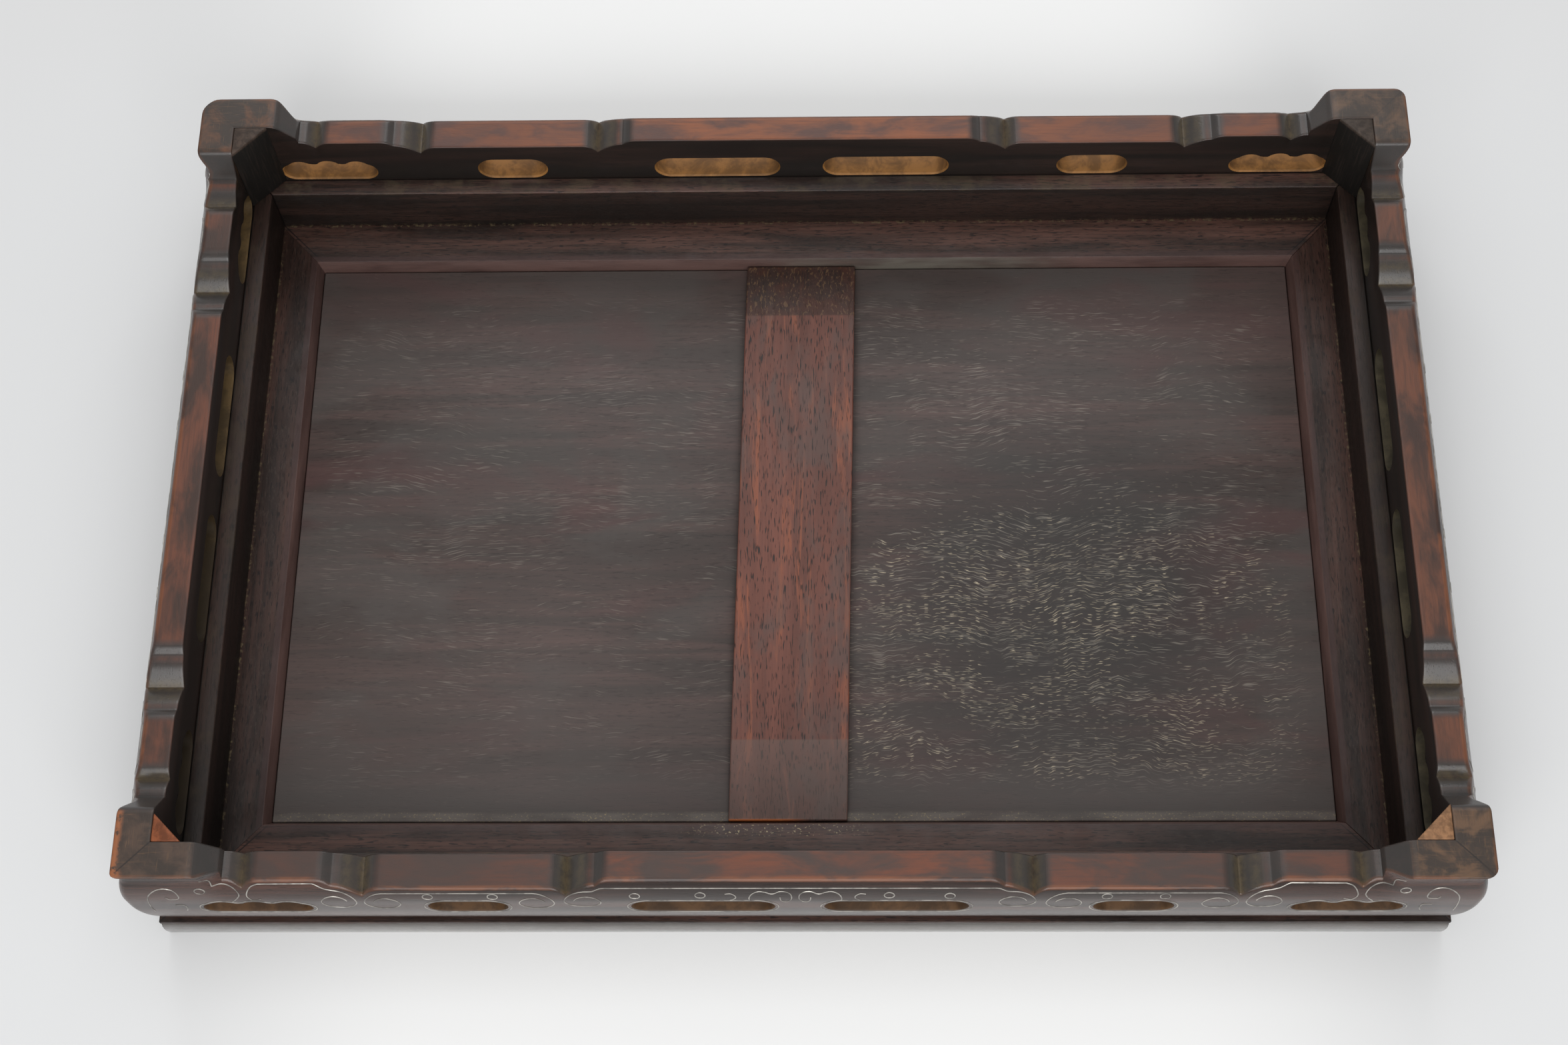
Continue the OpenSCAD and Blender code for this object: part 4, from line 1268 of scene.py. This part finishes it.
class STAND_OT_panel(bpy.types.Operator):
    """Build the panel inside the frame"""

    bl_idname = "stand.panel"
    bl_label = "Panel"

    def execute(self, context):
        stand = context.scene.desk_stand
        mesh = softened("top_panel", stand.sizes.arris)
        add_piece("panel", mesh, [panel_wood(stand.colours)], "panel_wood", "top_panel")
        return {"FINISHED"}


class STAND_OT_brace(bpy.types.Operator):
    """Build the brace across the panel"""

    bl_idname = "stand.brace"
    bl_label = "Brace"

    def execute(self, context):
        stand = context.scene.desk_stand
        mesh = softened("cross_brace", stand.sizes.arris)
        add_piece("brace", mesh, [brace_wood(stand.colours)], "brace_wood", "cross_brace", sharp=20)
        return {"FINISHED"}


class STAND_OT_aprons(bpy.types.Operator):
    """Build the four scalloped and pierced aprons with their feet"""

    bl_idname = "stand.aprons"
    bl_label = "Aprons"

    def execute(self, context):
        stand = context.scene.desk_stand
        for name in SIDES:
            side = Side(name)
            mesh = pierced(apron_mesh(stand.sizes, side), slot_cutter(stand.sizes, side))
            mark_slot_faces(mesh, side)
            mesh.transform(side.matrix)
            woods = [apron_wood(stand.colours, name), slot_wood(name)]
            add_piece("scalloped_apron_" + name, mesh, woods, "apron_wood", "apron_" + name)
        return {"FINISHED"}


class STAND_OT_blocks(bpy.types.Operator):
    """Build the triangular blocks behind the feet"""

    bl_idname = "stand.blocks"
    bl_label = "Corner blocks"

    def execute(self, context):
        stand = context.scene.desk_stand
        for corner in CORNERS:
            node = "corner_block_" + corner
            mesh = softened(node, stand.sizes.arris, BLOCK_CUT.get(corner))
            add_piece("block_" + corner, mesh, [block_wood(corner)], "block_wood", node)
        return {"FINISHED"}


class STAND_OT_wire(bpy.types.Operator):
    """Lay the silver wire on the aprons' outer faces"""

    bl_idname = "stand.wire"
    bl_label = "Silver wire"

    def execute(self, context):
        stand = context.scene.desk_stand
        metal = silver_metal(stand.colours)
        for name in SIDES:
            wires = Wires(stand.sizes, Side(name))
            if wires.side.kind == "long":
                long_pattern(wires)
            else:
                short_pattern(wires)
            add_piece("inlaid_wire_" + name, wires.mesh(), [metal], "silver_wire", "silver_wire_" + name)
        return {"FINISHED"}


# Name, place in metres, tilt in degrees and power in watts of each soft box
LAMPS = (
    ("front_box", (0, -1.0, 0.85), 50, 15),
    ("back_box", (0, 1.1, 1.0), -48, 9),
    ("top_box", (0, 0.2, 1.7), 0, 5),
)
LAMP_SIZE = (1.2, 0.8)
# Camera of the photograph: lens and sensor width in millimetres, place in metres, turn in degrees
LENS = 53.87
SENSOR = 36
VIEW_PLACE = (0.01139, -0.31278, 0.72393)
VIEW_TURN = (23.845, 1.276, 0.283)


def add_floor(scene):
    """Lays the floor under the stand."""
    bm = bmesh.new()
    bmesh.ops.create_grid(bm, x_segments=1, y_segments=1, size=FLOOR_HALF)
    mesh = to_mesh(bm, "floor")
    mesh.materials.append(floor_paper())
    floor = bpy.data.objects.new("floor", mesh)
    scene.collection.objects.link(floor)


def add_lamps(scene):
    """Hangs the soft boxes."""
    for name, place, tilt, power in LAMPS:
        lamp = bpy.data.lights.new(name, "AREA")
        lamp.shape = "RECTANGLE"
        lamp.size, lamp.size_y = LAMP_SIZE
        lamp.energy = power
        soft_box = bpy.data.objects.new(name, lamp)
        soft_box.location = place
        soft_box.rotation_euler = (math.radians(tilt), 0, 0)
        scene.collection.objects.link(soft_box)


def add_camera(scene):
    """Sets up the photograph's view."""
    camera = bpy.data.cameras.new("camera")
    camera.lens = LENS
    camera.sensor_width = SENSOR
    camera.sensor_fit = "HORIZONTAL"
    view = bpy.data.objects.new("camera", camera)
    view.location = VIEW_PLACE
    view.rotation_euler = [math.radians(angle) for angle in VIEW_TURN]
    scene.collection.objects.link(view)
    scene.camera = view


class STAND_OT_stage(bpy.types.Operator):
    """Make the floor, the light and the camera"""

    bl_idname = "stand.stage"
    bl_label = "Stage"

    def execute(self, context):
        scene = context.scene
        add_floor(scene)
        scene.world = soft_room()
        add_lamps(scene)
        add_camera(scene)
        scene.view_settings.view_transform = "Standard"
        return {"FINISHED"}


class StandSettings(bpy.types.PropertyGroup):
    """All settings of the stand."""

    sizes: bpy.props.PointerProperty(
        type=StandSizes, name="Sizes", description="Sizes that the looks add to the solids")
    colours: bpy.props.PointerProperty(
        type=StandColours, name="Colours", description="Colours of the woods and the wire")


OPERATORS = (
    STAND_OT_rails,
    STAND_OT_panel,
    STAND_OT_brace,
    STAND_OT_aprons,
    STAND_OT_blocks,
    STAND_OT_wire,
    STAND_OT_stage,
)


class STAND_PT_sidebar(bpy.types.Panel):
    """Lists the stand's pieces and settings"""

    bl_label = "Desk Stand"
    bl_idname = "STAND_PT_sidebar"
    bl_space_type = "VIEW_3D"
    bl_region_type = "UI"
    bl_category = "Desk Stand"

    def draw(self, context):
        stand = context.scene.desk_stand
        for group in (stand.sizes, stand.colours):
            column = self.layout.column(align=True)
            for name in group.bl_rna.properties.keys():
                if name not in ("rna_type", "name"):
                    column.prop(group, name)
        column = self.layout.column(align=True)
        for operator in OPERATORS:
            column.operator(operator.bl_idname)


CLASSES = (StandSizes, StandColours, StandSettings, *OPERATORS, STAND_PT_sidebar)


def register():
    """Adds the stand's classes and settings to Blender."""
    for item in CLASSES:
        bpy.utils.register_class(item)
    bpy.types.Scene.desk_stand = bpy.props.PointerProperty(type=StandSettings)


def unregister():
    """Takes the stand's classes and settings out of Blender."""
    del bpy.types.Scene.desk_stand
    for item in reversed(CLASSES):
        bpy.utils.unregister_class(item)


def main():
    """Builds the stand and its stage."""
    register()
    bpy.ops.stand.rails()
    bpy.ops.stand.panel()
    bpy.ops.stand.brace()
    bpy.ops.stand.aprons()
    bpy.ops.stand.blocks()
    bpy.ops.stand.wire()
    bpy.ops.stand.stage()


if __name__ == "__main__":
    main()
